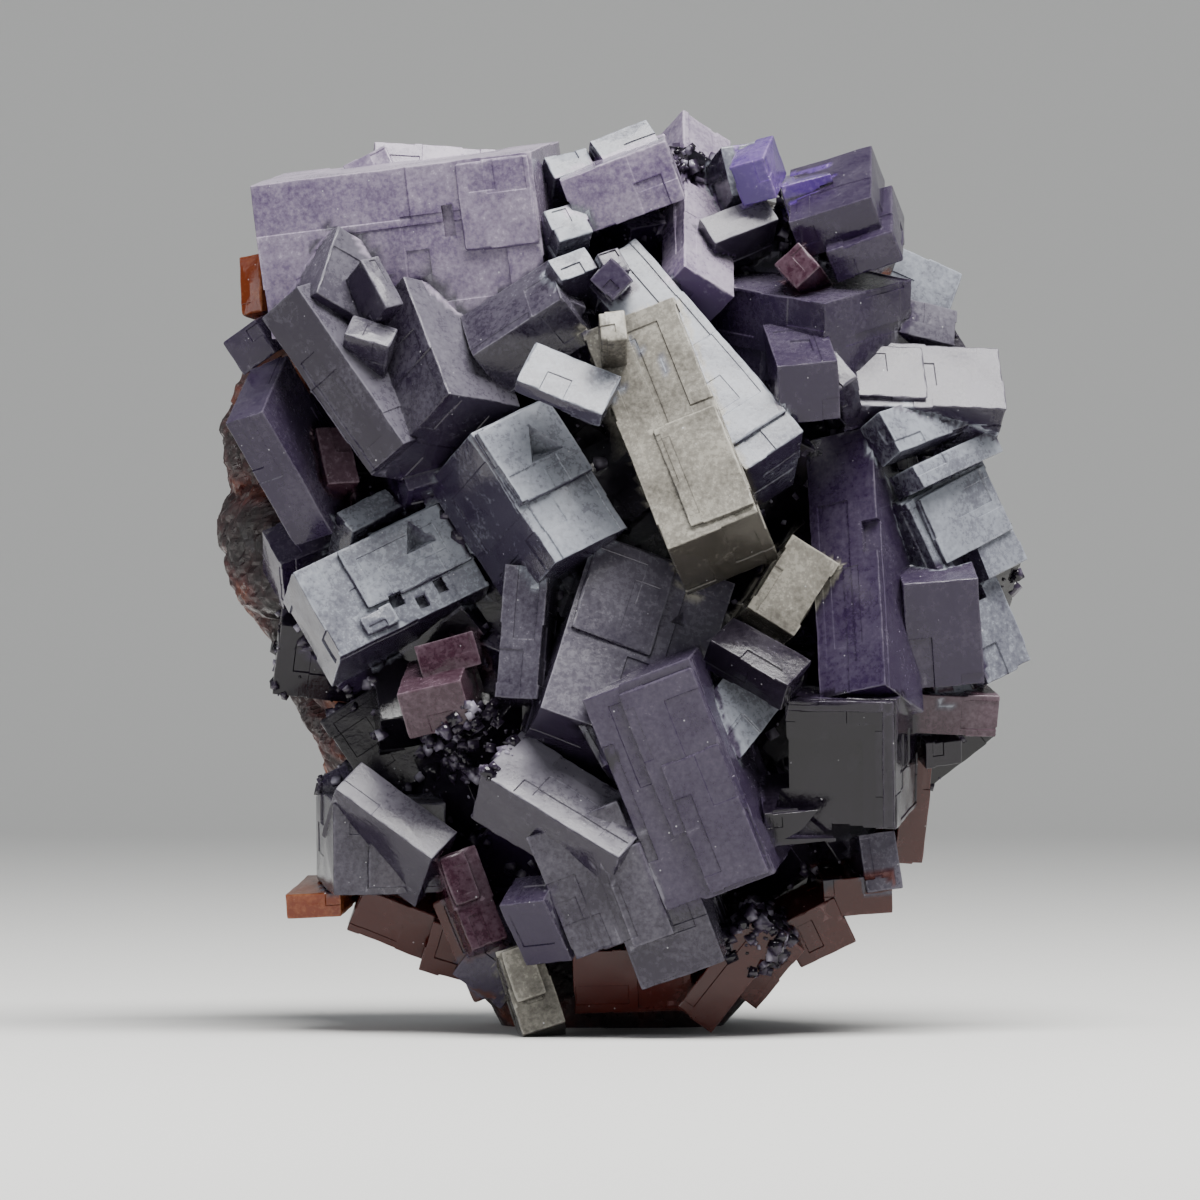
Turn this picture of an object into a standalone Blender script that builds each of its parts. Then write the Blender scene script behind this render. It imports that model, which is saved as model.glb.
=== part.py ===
# Fluorite on matrix: a cabinet specimen of intergrown cubes on a dark, rusty rock.
# Metres, +Z up, front towards -Y. The origin is at the middle of the box's underside.
import math
import random

import bmesh
import bpy
import numpy as np
from mathutils import Vector

MM = 0.001

# Massive fluorite under the crystals, in millimetres: the middle and the half widths.
HEART_MIDDLE = (4.5, -4.0, 56.0)
HEART_RADII = (36.0, 14.5, 42.0)

# Smaller cubes that fill the valleys between the large ones.
FILL_COUNT = 96
FILL_SHELL = (33.5, 10.5, 40.0)
FILL_EDGES = (9.0, 15.0)
FILL_SEED = 11
# Only places that look this far to the front, as the y of the way out, take a filling cube.
FILL_FRONT = 0.15

# Cubes round the rim, behind the large ones.
RIM_COUNT = 26
RIM_SHELL = (39.0, 46.0)
RIM_DEPTHS = (-2.0, 15.0)
RIM_EDGES = (8.0, 13.0)
RIM_SEED = 5
# How much a small cube tilts from its way out, how far its first edge stands out, and how far
# the rim's cubes wander in turn, in depth and towards the back.
SMALL_TILT = 0.45
SMALL_STAND = 1.1
RIM_WANDER = 0.25
RIM_DEPTH_WANDER = 2.0
RIM_BACKWARD = 0.35

# The rock: left, right, front and back edge at each height, in millimetres.
ROCK_PROFILE = (
    (0.0, -12.0, 15.0, 1.0, 21.0),
    (2.5, -13.5, 17.0, 0.0, 23.0),
    (9.0, -21.0, 23.0, -3.0, 25.0),
    (20.0, -29.0, 30.0, -5.0, 27.0),
    (33.0, -33.0, 35.0, -8.0, 28.5),
    (43.0, -38.0, 37.0, -9.0, 29.5),
    (52.0, -44.0, 38.0, -9.0, 30.0),
    (61.0, -49.0, 39.0, -8.0, 29.0),
    (72.0, -48.0, 38.0, -8.0, 27.5),
    (82.0, -44.0, 36.0, -6.0, 25.0),
    (92.0, -36.0, 31.0, -3.0, 21.0),
    (99.0, -25.0, 24.0, 0.0, 16.0),
    (102.0, -14.0, 14.0, 3.0, 11.0),
)
# The rock's grid, and how square its rings are: 2 would be an ellipse.
ROCK_RINGS = 31
ROCK_SPOKES = 42
ROCK_SQUARENESS = 2.6
# The rings stand closer at the foot and the top: this share of their spacing is eased.
ROCK_EASE = 0.7
# Height and width of its broad lumps, height and width of its broken blocks, depth of the
# grooves between blocks, and the share of a block that a groove's side takes.
ROCK_LUMPS = (3.4, 17.0)
ROCK_BLOCKS = (4.4, 13.0)
ROCK_GROOVE = 1.8
GROOVE_SHARE = 0.3
# The share of the blocks' height that lies under the profile.
BLOCK_SUNK = 0.7
# The flat foot fades into the full relief over this height. The top ends in a low peak.
ROCK_FOOT_RISE = 12.0
ROCK_PEAK = 2.0
ROCK_SEEDS = (3, 21)

# The side and the depth of the block that cuts the crystals off at the floor.
GROUND = (200.0, 40.0)

# How far a growth step reaches into its crystal, and how far a pit's cutter stands out of it.
STEP_ROOT = 1.0
PIT_CLEARANCE = 2.0

# The gap between the rock and the crystals, how far the crust's bed goes below the floor, and
# the distance at which points are merged, which is in metres.
CONTACT_GAP = 0.4
SINK = 8.0
WELD = 0.0000005

# Each crystal that shows one broad face. The row holds the name, the lower left corner of the
# face (x, y, z), how far it looks to the right and up in degrees, the slope of its lower edge
# in degrees, its width and height as seen from the front, and how deep it goes.
FACE_CRYSTALS = (
    # Upper left
    ("upper left block", -39.4, -18.0, 82.2, -8, -6, 6.7, 34.0, 18.8, 24.0),
    ("top back", -27.4, -9.0, 99.6, 5, 25, -3, 15.0, 7.4, 14.0),
    ("top back left", -29.4, -8.0, 99.8, -20, 20, 28, 6.0, 4.4, 12.0),
    ("orange edge", -43.2, -9.0, 85.4, -30, 10, 10, 3.0, 7.5, 8.0),
    ("left pyramid top", -33.5, -27.0, 87.8, 36, 16, -31, 7.3, 8.9, 10.0),
    ("left shard", -28.4, -27.0, 92.0, 30, 30, -62, 7.0, 2.6, 9.0),
    ("left shard foot", -30.4, -28.5, 83.0, 10, 42, -18, 6.0, 3.0, 8.0),
    ("diagonal slab", -27.4, -26.0, 66.0, -32, -12, 40, 6.0, 23.0, 14.0),
    ("ridge slab", -15.4, -29.0, 80.2, 12, -34, -50, 6.7, 13.0, 9.0),
    ("ridge slab end", -7.0, -28.0, 84.4, 10, -20, -20, 4.6, 3.6, 8.0),
    ("dark left face", -42.6, -12.0, 78.0, -22, -12, 35, 5.2, 5.2, 12.0),
    # Top
    ("small violet cube", 1.4, -34.0, 86.2, 0, 0, 45, 4.1, 4.2, 9.0),
    ("top bit", -5.0, -27.0, 93.6, 10, 30, 17, 5.0, 4.6, 10.0),
    ("top bit below", -4.6, -30.0, 89.0, 10, 36, 20, 5.0, 3.4, 9.0),
    ("top bit right", 1.2, -29.5, 89.4, 15, 30, 20, 3.0, 3.6, 8.0),
    ("cream bit", 0.0, -37.0, 81.6, 0, 24, 5, 3.5, 4.0, 8.0),
    ("top corner block", -5.4, -20.0, 101.4, 10, 36, 15, 5.6, 3.4, 12.0),
    ("top plate", 0.4, -19.0, 103.6, 8, 36, 22, 7.6, 3.4, 14.0),
    ("lavender block", -2.4, -24.0, 94.0, 0, -6, 20.3, 13.8, 7.8, 16.0),
    # Upper right
    ("white top step", 15.6, -16.5, 99.4, 15, 18, 8, 4.4, 6.6, 10.0),
    ("violet step", 16.8, -19.0, 97.8, -10, -22, 15, 4.6, 5.4, 9.0),
    ("grey step", 13.6, -21.0, 93.6, 6, 32, 22, 8.6, 4.0, 8.0),
    ("bright violet crystal", 22.4, -17.0, 96.4, 2, -8, 15, 6.6, 4.6, 10.0),
    ("upper stair", 23.8, -20.5, 91.6, -2, -26, 17, 10.6, 5.0, 16.0),
    ("lower stair", 28.0, -21.5, 88.6, -2, -24, 18, 8.7, 4.6, 15.0),
    ("maroon pyramid", 23.0, -26.0, 88.0, -12, 12, 42, 4.4, 4.4, 9.0),
    ("right top back", 33.0, -9.0, 86.0, 18, 12, -24, 8.6, 9.0, 14.0),
    ("lit shelf", 21.0, -31.0, 71.8, 8, -25, 6, 7.6, 7.2, 13.0),
    ("shelf corner", 27.8, -30.0, 76.0, -8, 28, 34, 3.4, 4.8, 9.0),
    ("mottled block", 29.6, -24.0, 74.6, 12, 36, -2, 19.0, 8.2, 10.0),
    ("right shoulder", 35.4, -17.0, 83.4, 25, 20, -14, 7.4, 4.8, 11.0),
    ("right plate high", 35.6, -26.0, 69.0, 34, 26, 20, 13.6, 5.8, 5.0),
    ("right plate thin", 38.4, -24.5, 64.6, 34, 16, 25, 11.0, 3.4, 6.0),
    # Centre
    ("bright plate", -5.2, -34.0, 55.7, 24, 24, 27, 10.0, 18.7, 15.0),
    ("second plate", -10.1, -35.5, 77.3, 8, 34, -22, 11.3, 5.6, 3.0),
    ("central prism", 7.6, -39.5, 57.2, -10, 20, 22, 12.2, 28.0, 16.0),
    ("speckled plate", 17.0, -36.0, 66.6, 5, 28, 33, 8.8, 31.0, 13.0),
    ("centre crystal", -7.2, -35.0, 39.0, 14, 22, -20, 18.0, 22.0, 17.0),
    ("beige corner", 17.0, -29.0, 50.8, 8, 8, -33, 7.0, 10.6, 11.0),
    ("folded plate", 16.8, -33.5, 32.8, 34, 22, 52, 8.8, 8.0, 9.0),
    ("stepped cube", 7.7, -34.5, 14.5, -8, -8, 20.8, 13.9, 27.7, 22.0),
    ("stepped cube foot", 4.8, -31.0, 5.4, -4, -12, 19.5, 10.8, 17.5, 18.0),
    ("grey foot", -3.0, -31.0, 8.8, -8, -8, 21, 12.0, 16.4, 16.0),
    ("blade", 0.0, -36.0, 31.8, -14, 20, 30, 2.6, 9.6, 7.0),
    ("frosted column", -12.8, -29.5, 40.0, -10, 6, -4, 5.6, 16.2, 12.0),
    ("blunt wedge", -14.4, -32.0, 31.4, 12, 42, -31, 19.4, 7.4, 8.5),
    # Left
    ("maroon block", -21.0, -25.0, 41.8, -4, 2, 16, 7.6, 4.6, 10.0),
    ("dark block", -22.6, -26.0, 34.8, -6, -20, 13, 8.2, 6.0, 12.0),
    ("large left crystal", -30.6, -26.0, 44.6, 8, 20, 26, 20.0, 12.2, 11.0),
    ("left wedge", -38.0, -15.0, 55.6, 0, 34, 22, 8.2, 5.4, 10.0),
    ("left bright bit", -29.3, -20.0, 59.6, 10, 42, 27, 7.2, 3.6, 8.0),
    ("left facets", -32.4, -18.5, 65.2, 20, 24, 4, 4.2, 7.4, 10.0),
    ("crackled plate", -22.8, -22.0, 64.2, 6, 20, 15, 7.2, 5.2, 9.0),
    ("pink crystal", -46.0, -7.0, 77.2, -20, 20, 8, 3.6, 4.0, 7.0),
    ("salmon crystal", -46.6, -5.0, 74.4, -24, 12, 70, 4.2, 2.4, 6.0),
    ("magenta crystal", -47.2, -7.0, 73.6, -14, 6, 12, 3.4, 2.6, 7.0),
    # Right
    ("right grey plate", 46.2, -19.0, 41.4, 36, 12, 25, 6.4, 23.0, 12.0),
    ("right grey plate top", 41.6, -22.0, 51.4, 35, 12, 27, 11.0, 13.4, 12.0),
    ("dark violet face", 36.4, -23.0, 40.6, 4, -16, 5, 9.4, 13.0, 12.0),
    ("bright lower bit", 40.6, -20.0, 38.8, 30, 30, 10, 5.4, 5.6, 9.0),
    ("brown block", 36.4, -20.0, 35.4, 10, -10, -2, 11.0, 5.4, 13.0),
    ("small lower bit", 38.6, -16.0, 31.2, 16, -18, 6, 4.8, 3.6, 10.0),
    ("right lower strip", 35.0, -13.0, 20.0, 28, -6, -4, 3.8, 15.0, 14.0),
    # Lower right
    ("framed cube", 21.6, -29.0, 24.6, -10, -8, -1, 13.4, 15.8, 18.0),
    ("dark shelf", 19.4, -30.5, 22.0, 4, -25, 6, 8.6, 4.6, 11.0),
    ("dark pyramid", 26.6, -29.0, 15.6, -10, 8, 44, 5.4, 5.4, 10.0),
    ("light block", 31.6, -19.0, 16.6, 10, 6, 8, 4.8, 7.4, 11.0),
    ("brown lower block", 26.5, -18.0, 13.6, 6, -10, 4, 8.6, 5.0, 12.0),
    ("red fan", 13.2, -23.0, 0.0, 4, -12, 52, 14.6, 5.6, 10.0),
    ("red fan middle", 18.6, -19.0, 2.6, 6, -16, 50, 9.6, 6.0, 10.0),
    ("red fan right", 23.8, -17.0, 7.4, 8, -14, 26, 7.8, 6.4, 10.0),
    # Lower left
    ("lower left block", -31.8, -18.0, 16.2, 10, -6, 1, 13.8, 11.4, 15.0),
    ("lower left ridge", -31.6, -21.0, 29.4, 14, 34, -36, 14.6, 4.8, 11.0),
    ("orange tip", -37.6, -10.0, 13.2, -12, -10, 3, 7.0, 3.4, 12.0),
    ("red left crystal", -30.6, -11.0, 12.0, -6, -22, -22, 10.4, 6.0, 14.0),
    ("red lower crystal", -22.0, -12.0, 7.2, -6, -20, -16, 8.4, 6.6, 13.0),
    ("bottom red left", -18.0, -16.0, 7.0, -8, -16, -36, 7.6, 7.0, 12.0),
    ("red strip", -20.4, -16.0, 15.6, -10, -8, -67, 13.4, 3.2, 10.0),
    ("mauve plate", -15.4, -23.0, 9.8, 5, 10, 20, 5.4, 12.2, 11.0),
    ("bottom plate", -9.2, -25.5, 0.0, 0, 14, 18, 5.8, 10.8, 11.0),
    ("bottom red block", -3.2, -21.0, 2.2, 0, -24, 2, 14.4, 8.0, 14.0),
)

# Each crystal that shows a corner with three edges. The row holds the name, the corner
# (x, y, z), the three directions of the edges as seen from the front, counterclockwise from
# the right in degrees, and the three lengths as seen.
CORNER_CRYSTALS = (
    ("left trihedral", -17.8, -33.0, 75.8, (111, -9, -134), (15.5, 9.2, 13.7)),
    ("left edge pyramid", -39.8, -26.0, 74.0, (69, -60.4, 199), (7.7, 17.0, 5.2)),
    ("upper right corner", 26.4, -29.0, 86.6, (168, 17, -90), (14.4, 11.6, 11.0)),
    ("tall right crystal", 32.2, -21.0, 72.6, (-87.4, 193, -37), (31.0, 8.4, 6.2)),
    ("top ridge", 10.0, 1.0, 111.2, (-90, -134, -32), (20.0, 4.5, 7.4)),
    ("violet triangle", -6.6, -33.5, 16.4, (187, -65, 60), (5.8, 8.4, 4.0)),
    ("wedge crystal", 22.1, -36.5, 41.6, (150.4, 44, -106), (11.0, 4.4, 3.6)),
)

# Growth steps: thin plates that lie on a broad face. The row holds the crystal, the share of
# its width and height that the plate covers (from, to, from, to) and its height over the face.
TERRACES = (
    ("upper left block", 0.72, 0.99, 0.40, 0.98, 0.3),
    ("bright plate", 0.02, 0.98, 0.42, 0.98, 0.9),
    ("stepped cube", 0.30, 0.99, 0.30, 0.96, 0.7),
    ("stepped cube", 0.42, 0.97, 0.02, 0.62, 1.2),
    ("stepped cube foot", 0.10, 0.60, 0.30, 0.98, 0.8),
    ("speckled plate", 0.06, 0.97, 0.10, 0.52, 0.5),
    ("central prism", 0.30, 0.98, 0.04, 0.50, 0.4),
    ("centre crystal", 0.03, 0.60, 0.45, 0.98, 0.5),
    ("large left crystal", 0.28, 0.98, 0.30, 0.97, 0.6),
    ("large left crystal", 0.20, 0.42, 0.06, 0.30, 0.8),
    ("right grey plate top", 0.10, 0.96, 0.30, 0.96, 0.5),
    ("bottom plate", 0.10, 0.80, 0.35, 0.96, 0.6),
    ("mauve plate", 0.06, 0.70, 0.45, 0.97, 0.5),
    ("mottled block", 0.04, 0.50, 0.10, 0.90, 0.5),
    ("framed cube", 0.86, 0.98, 0.02, 0.98, 0.6),
    ("framed cube", 0.02, 0.98, 0.88, 0.98, 0.6),
    ("lower left block", 0.30, 0.98, 0.08, 0.60, 0.5),
)

# Pits with straight walls, in the same terms as the growth steps, with their depth.
PITS = (
    ("upper left block", 0.66, 0.70, 0.52, 0.72, 1.2),
    ("upper left block", 0.52, 0.60, 0.30, 0.46, 0.6),
    ("framed cube", -0.05, 0.80, -0.05, 0.80, 1.3),
    ("framed cube", -0.05, 0.68, -0.05, 0.66, 2.6),
    ("right grey plate", 0.10, 0.62, 0.42, 0.72, 1.5),
    ("large left crystal", 0.42, 0.50, 0.22, 0.34, 1.4),
    ("large left crystal", 0.56, 0.62, 0.10, 0.22, 1.4),
    ("large left crystal", 0.70, 0.76, 0.16, 0.30, 1.3),
    ("tall right crystal", 0.36, 0.48, -0.10, 0.24, 1.2),
)

# Three-sided pits, as a corner of a cube sunk into the face: the crystal, the middle of the
# pit as a share of width and height, its radius and its depth in millimetres.
CORNER_PITS = (
    ("bright plate", 0.59, 0.71, 2.0, 1.8),
    ("large left crystal", 0.74, 0.72, 1.9, 1.6),
    ("upper right corner", 0.60, 0.50, 2.6, 2.0),
    ("centre crystal", 0.72, 0.70, 1.6, 1.2),
)


# A unit vector that looks out of a face turned right and up by two angles.
def look_direction(right, up):
    turn = math.radians(right)
    lift = math.radians(up)
    return Vector((math.sin(turn) * math.cos(lift), -math.cos(turn) * math.cos(lift), math.sin(lift)))


# The edge in a face that is seen from the front at the given slope.
def edge_in_face(normal, slope):
    along = math.radians(slope)
    run = -(normal.x * math.cos(along) + normal.z * math.sin(along)) / normal.y
    return Vector((math.cos(along), run, math.sin(along))).normalized()


# How long a unit vector looks from the front.
def seen_length(unit):
    return math.hypot(unit.x, unit.z)


# The corner and the three edges of a crystal known by one face.
def face_crystal(x, y, z, right, up, slope, width, height, deep):
    normal = look_direction(right, up)
    across = edge_in_face(normal, slope)
    upward = normal.cross(across)
    corner = Vector((x, y, z))
    return (
        corner,
        across * (width / seen_length(across)),
        upward * (height / seen_length(upward)),
        normal * -deep,
    )


# The corner and the three edges of a crystal known by a corner. Three square edges that are
# seen at given directions have one solution: the product of two of their tangents of depth is
# minus the cosine of the angle seen between them.
def corner_crystal(x, y, z, directions, lengths):
    angles = [math.radians(a) for a in directions]
    c01 = math.cos(angles[0] - angles[1])
    c02 = math.cos(angles[0] - angles[2])
    c12 = math.cos(angles[1] - angles[2])
    tangents = [
        math.sqrt(-c01 * c02 / c12),
        math.sqrt(-c01 * c12 / c02),
        math.sqrt(-c02 * c12 / c01),
    ]
    if c01 > 0.0 and c02 > 0.0:
        tangents[0] = -tangents[0]
    edges = []
    for angle, tangent, length in zip(angles, tangents, lengths):
        edges.append(Vector((math.cos(angle), tangent, math.sin(angle))) * length)
    return (Vector((x, y, z)), edges[0], edges[1], edges[2])


# A closed box with its first corner and three edges, faces outward.
def add_box(bm, corner, first, second, third):
    if first.cross(second).dot(third) < 0.0:
        first, second = second, first
    verts = []
    for k in (0, 1):
        for j in (0, 1):
            for i in (0, 1):
                verts.append(bm.verts.new((corner + first * i + second * j + third * k) * MM))
    for quad in ((0, 2, 3, 1), (4, 5, 7, 6), (0, 1, 5, 4), (2, 6, 7, 3), (0, 4, 6, 2), (1, 3, 7, 5)):
        bm.faces.new([verts[i] for i in quad])


# The frame of a crystal's broad face: its corner, the two edges, and the way out of it.
def broad_face(crystal):
    corner, across, upward, inward = crystal
    return corner, across, upward, inward.normalized() * -1.0


# A plate from the face's inside to its height over it, or a pit's cutter from its floor out.
def patch(crystal, left, right, low, high, below, above):
    corner, across, upward, out = broad_face(crystal)
    start = corner + across * left + upward * low - out * below
    return start, across * (right - left), upward * (high - low), out * (below + above)


# A three-sided cutter whose point is sunk in the face.
def corner_pit(crystal, left, low, radius, depth):
    bm = bmesh.new()
    corner, across, upward, out = broad_face(crystal)
    middle = corner + across * left + upward * low
    side = across.normalized()
    rise = out.cross(side)
    rim = []
    for k in range(3):
        turn = math.radians(90.0 + 120.0 * k)
        spoke = side * (math.cos(turn) * radius) + rise * (math.sin(turn) * radius)
        rim.append(middle + spoke * 2.0 + out * depth)
    tip = middle - out * depth
    verts = [bm.verts.new(p * MM) for p in rim + [tip]]
    faces = [(0, 1, 2), (1, 0, 3), (2, 1, 3), (0, 2, 3)]
    made = [bm.faces.new([verts[i] for i in f]) for f in faces]
    bmesh.ops.recalc_face_normals(bm, faces=made)
    return as_object(bm, "pit")


# A mesh object from a bmesh, in the scene.
def as_object(bm, name):
    mesh = bpy.data.meshes.new(name)
    bm.to_mesh(mesh)
    bm.free()
    thing = bpy.data.objects.new(name, mesh)
    bpy.context.scene.collection.objects.link(thing)
    return thing


# Every crystal with a name, as corner and edges.
def named_crystals():
    crystals = {}
    for name, *row in FACE_CRYSTALS:
        crystals[name] = face_crystal(*row)
    for name, *row in CORNER_CRYSTALS:
        crystals[name] = corner_crystal(*row)
    return crystals


# Three square edges turned at random about a way out, with lengths between two limits.
def random_edges(dice, out, limits):
    tilt = Vector((dice.uniform(-1, 1), dice.uniform(-1, 1), dice.uniform(-1, 1)))
    first = (out + tilt * SMALL_TILT).normalized()
    second = first.orthogonal().normalized()
    third = first.cross(second)
    turn = dice.uniform(0.0, math.tau)
    spun = second * math.cos(turn) + third * math.sin(turn)
    other = first.cross(spun)
    return [axis * dice.uniform(*limits) for axis in (first, spun, other)]


# The smaller cubes in the valleys, spread evenly over an ellipsoid's front.
def fill_crystals():
    dice = random.Random(FILL_SEED)
    found = []
    golden = math.pi * (3.0 - math.sqrt(5.0))
    for k in range(FILL_COUNT):
        level = 1.0 - 2.0 * (k + 0.5) / FILL_COUNT
        ring = math.sqrt(1.0 - level * level)
        out = Vector((ring * math.cos(k * golden), ring * math.sin(k * golden), level))
        edges = random_edges(dice, out, FILL_EDGES)
        if out.y > FILL_FRONT:
            continue
        middle = Vector([m + r * o for m, r, o in zip(HEART_MIDDLE, FILL_SHELL, out)])
        corner = middle - (edges[0] * SMALL_STAND + edges[1] + edges[2]) / 2.0
        found.append((corner, edges[0], edges[1], edges[2]))
    return found


# The cubes round the rim, pointing outward, at depths that step to and fro.
def rim_crystals():
    dice = random.Random(RIM_SEED)
    found = []
    for k in range(RIM_COUNT):
        turn = math.tau * (k + dice.uniform(-RIM_WANDER, RIM_WANDER)) / RIM_COUNT
        out = Vector((math.cos(turn), dice.uniform(0.0, RIM_BACKWARD), math.sin(turn))).normalized()
        depth = RIM_DEPTHS[k % 2] + dice.uniform(-RIM_DEPTH_WANDER, RIM_DEPTH_WANDER)
        middle = Vector((
            HEART_MIDDLE[0] + RIM_SHELL[0] * math.cos(turn),
            depth,
            HEART_MIDDLE[2] + RIM_SHELL[1] * math.sin(turn),
        ))
        edges = random_edges(dice, out, RIM_EDGES)
        corner = middle - (edges[0] * SMALL_STAND + edges[1] + edges[2]) / 2.0
        found.append((corner, edges[0], edges[1], edges[2]))
    return found


# Applies one Boolean between an object and another, which is then removed. The exact solver
# leaves open edges where many crystals cross, so this is the manifold one.
def combine(thing, other, operation):
    modifier = thing.modifiers.new("combine", "BOOLEAN")
    modifier.operation = operation
    modifier.solver = "MANIFOLD"
    modifier.object = other
    depsgraph = bpy.context.evaluated_depsgraph_get()
    result = bpy.data.meshes.new_from_object(thing.evaluated_get(depsgraph))
    thing.modifiers.clear()
    thing.data = result
    bpy.data.objects.remove(other)


# One object from many that overlap, joined two by two.
def join_all(things):
    while len(things) > 1:
        for first, second in zip(things[::2], things[1::2]):
            combine(first, second, "UNION")
        things = things[::2]
    return things[0]


# A box as an object of its own.
def box_object(*sides):
    bm = bmesh.new()
    add_box(bm, *sides)
    return as_object(bm, "box")


# Keeps the largest shell of a mesh, so that no crumb and no closed bubble is left.
def keep_outer_shell(thing):
    bm = bmesh.new()
    bm.from_mesh(thing.data)
    bmesh.ops.remove_doubles(bm, verts=bm.verts, dist=WELD)
    shells = []
    seen = set()
    for start in bm.faces:
        if start in seen:
            continue
        shell = [start]
        seen.add(start)
        for face in shell:
            for edge in face.edges:
                for near in edge.link_faces:
                    if near not in seen:
                        seen.add(near)
                        shell.append(near)
        shells.append(shell)
    shells.sort(key=len)
    for shell in shells[:-1]:
        bmesh.ops.delete(bm, geom=shell, context="FACES")
    bm.to_mesh(thing.data)
    bm.free()


# The massive fluorite that the crystals stand on.
def heart():
    bm = bmesh.new()
    bmesh.ops.create_icosphere(bm, subdivisions=3, radius=1.0)
    for vert in bm.verts:
        vert.co = Vector([(m + r * c) * MM for m, r, c in zip(HEART_MIDDLE, HEART_RADII, vert.co)])
    return as_object(bm, "fluorite_crust")


# A number from 0 to 1 for each cell of a lattice: the fraction of a large sine.
def cell_hash(cells, seed):
    mixed = cells[..., 0] * 127.1 + cells[..., 1] * 311.7 + cells[..., 2] * 74.7 + seed * 53.3
    return np.modf(np.abs(np.sin(mixed) * 43758.5453))[0]


# Soft noise from 0 to 1: the lattice's numbers blended between the corners of each cell.
def soft_noise(points, size, seed):
    scaled = points / size
    base = np.floor(scaled)
    part = scaled - base
    part = part * part * (3.0 - 2.0 * part)
    total = np.zeros(points.shape[:-1])
    for step in np.ndindex(2, 2, 2):
        step = np.array(step, float)
        weight = np.prod(np.where(step > 0.5, part, 1.0 - part), axis=-1)
        total += weight * cell_hash(base + step, seed)
    return total


# Broken blocks: for each point a number for the nearest scattered seed, and how much nearer
# that seed is than the next one, as a share of the block size.
def broken_cells(points, size, seed):
    scaled = points / size
    base = np.floor(scaled)
    nearest = np.full(points.shape[:-1], 9.0)
    second = np.full(points.shape[:-1], 9.0)
    number = np.zeros(points.shape[:-1])
    for step in np.ndindex(3, 3, 3):
        cells = base + np.array(step, float) - 1.0
        spot = cells + np.stack([cell_hash(cells, seed + k) for k in (1, 2, 3)], axis=-1)
        gap = np.linalg.norm(spot - scaled, axis=-1)
        closer = gap < nearest
        second = np.where(closer, nearest, np.minimum(second, gap))
        number = np.where(closer, cell_hash(cells, seed + 9), number)
        nearest = np.where(closer, gap, nearest)
    return number, second - nearest


# How far the rock swells at each point: broad lumps, a ledge for each broken block, and a
# groove where two blocks meet.
def rock_swell(points):
    lumps = (soft_noise(points, ROCK_LUMPS[1], ROCK_SEEDS[0]) - 0.5) * 2.0 * ROCK_LUMPS[0]
    block, edge = broken_cells(points, ROCK_BLOCKS[1], ROCK_SEEDS[1])
    groove = np.clip(1.0 - edge / GROOVE_SHARE, 0.0, 1.0) ** 2
    return lumps + (block - BLOCK_SUNK) * ROCK_BLOCKS[0] - groove * ROCK_GROOVE


# The rock's points as a grid of rings and spokes: a rounded ring at each height, its sides
# read from the profile, pushed out by the swelling.
def rock_grid(grow):
    profile = np.array(ROCK_PROFILE)
    share = np.linspace(0.0, 1.0, ROCK_RINGS + 1)
    eased = (1.0 - np.cos(share * math.pi)) / 2.0
    height = profile[-1, 0] * (eased * ROCK_EASE + share * (1.0 - ROCK_EASE))
    left, right, front, back = [np.interp(height, profile[:, 0], profile[:, k])[:, None] for k in range(1, 5)]
    turn = np.arange(ROCK_SPOKES)[None, :] * math.tau / ROCK_SPOKES
    across, away = np.cos(turn), np.sin(turn)
    bulge = (np.abs(across) ** ROCK_SQUARENESS + np.abs(away) ** ROCK_SQUARENESS) ** (-1.0 / ROCK_SQUARENESS)
    x = (left + right) / 2.0 + (right - left) / 2.0 * across * bulge
    y = (front + back) / 2.0 + (back - front) / 2.0 * away * bulge
    points = np.stack([x, y, height[:, None] + np.zeros_like(x)], axis=-1)
    rise = np.minimum(1.0, points[..., 2] / ROCK_FOOT_RISE)
    swell = rock_swell(points) * rise + grow
    points[..., 0] += across * swell
    points[..., 1] += away * swell
    return points


# The rock as a closed mesh, or with a gap round it the bed that it leaves in the crust.
def rock(name, grow):
    grid = rock_grid(grow)
    if grow > 0.0:
        grid = np.concatenate([grid[:1] - np.array([0.0, 0.0, SINK]), grid])
    bm = bmesh.new()
    rings = [[bm.verts.new(Vector(point) * MM) for point in ring] for ring in grid]
    for low, high in zip(rings, rings[1:]):
        for j in range(ROCK_SPOKES):
            k = (j + 1) % ROCK_SPOKES
            bm.faces.new((low[j], low[k], high[k]))
            bm.faces.new((low[j], high[k], high[j]))
    bm.faces.new(list(reversed(rings[0])))
    top = grid[-1].mean(axis=0) + np.array([0.0, 0.0, ROCK_PEAK + grow])
    peak = bm.verts.new(Vector(top) * MM)
    for j in range(ROCK_SPOKES):
        bm.faces.new((rings[-1][j], rings[-1][(j + 1) % ROCK_SPOKES], peak))
    return as_object(bm, name)


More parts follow.
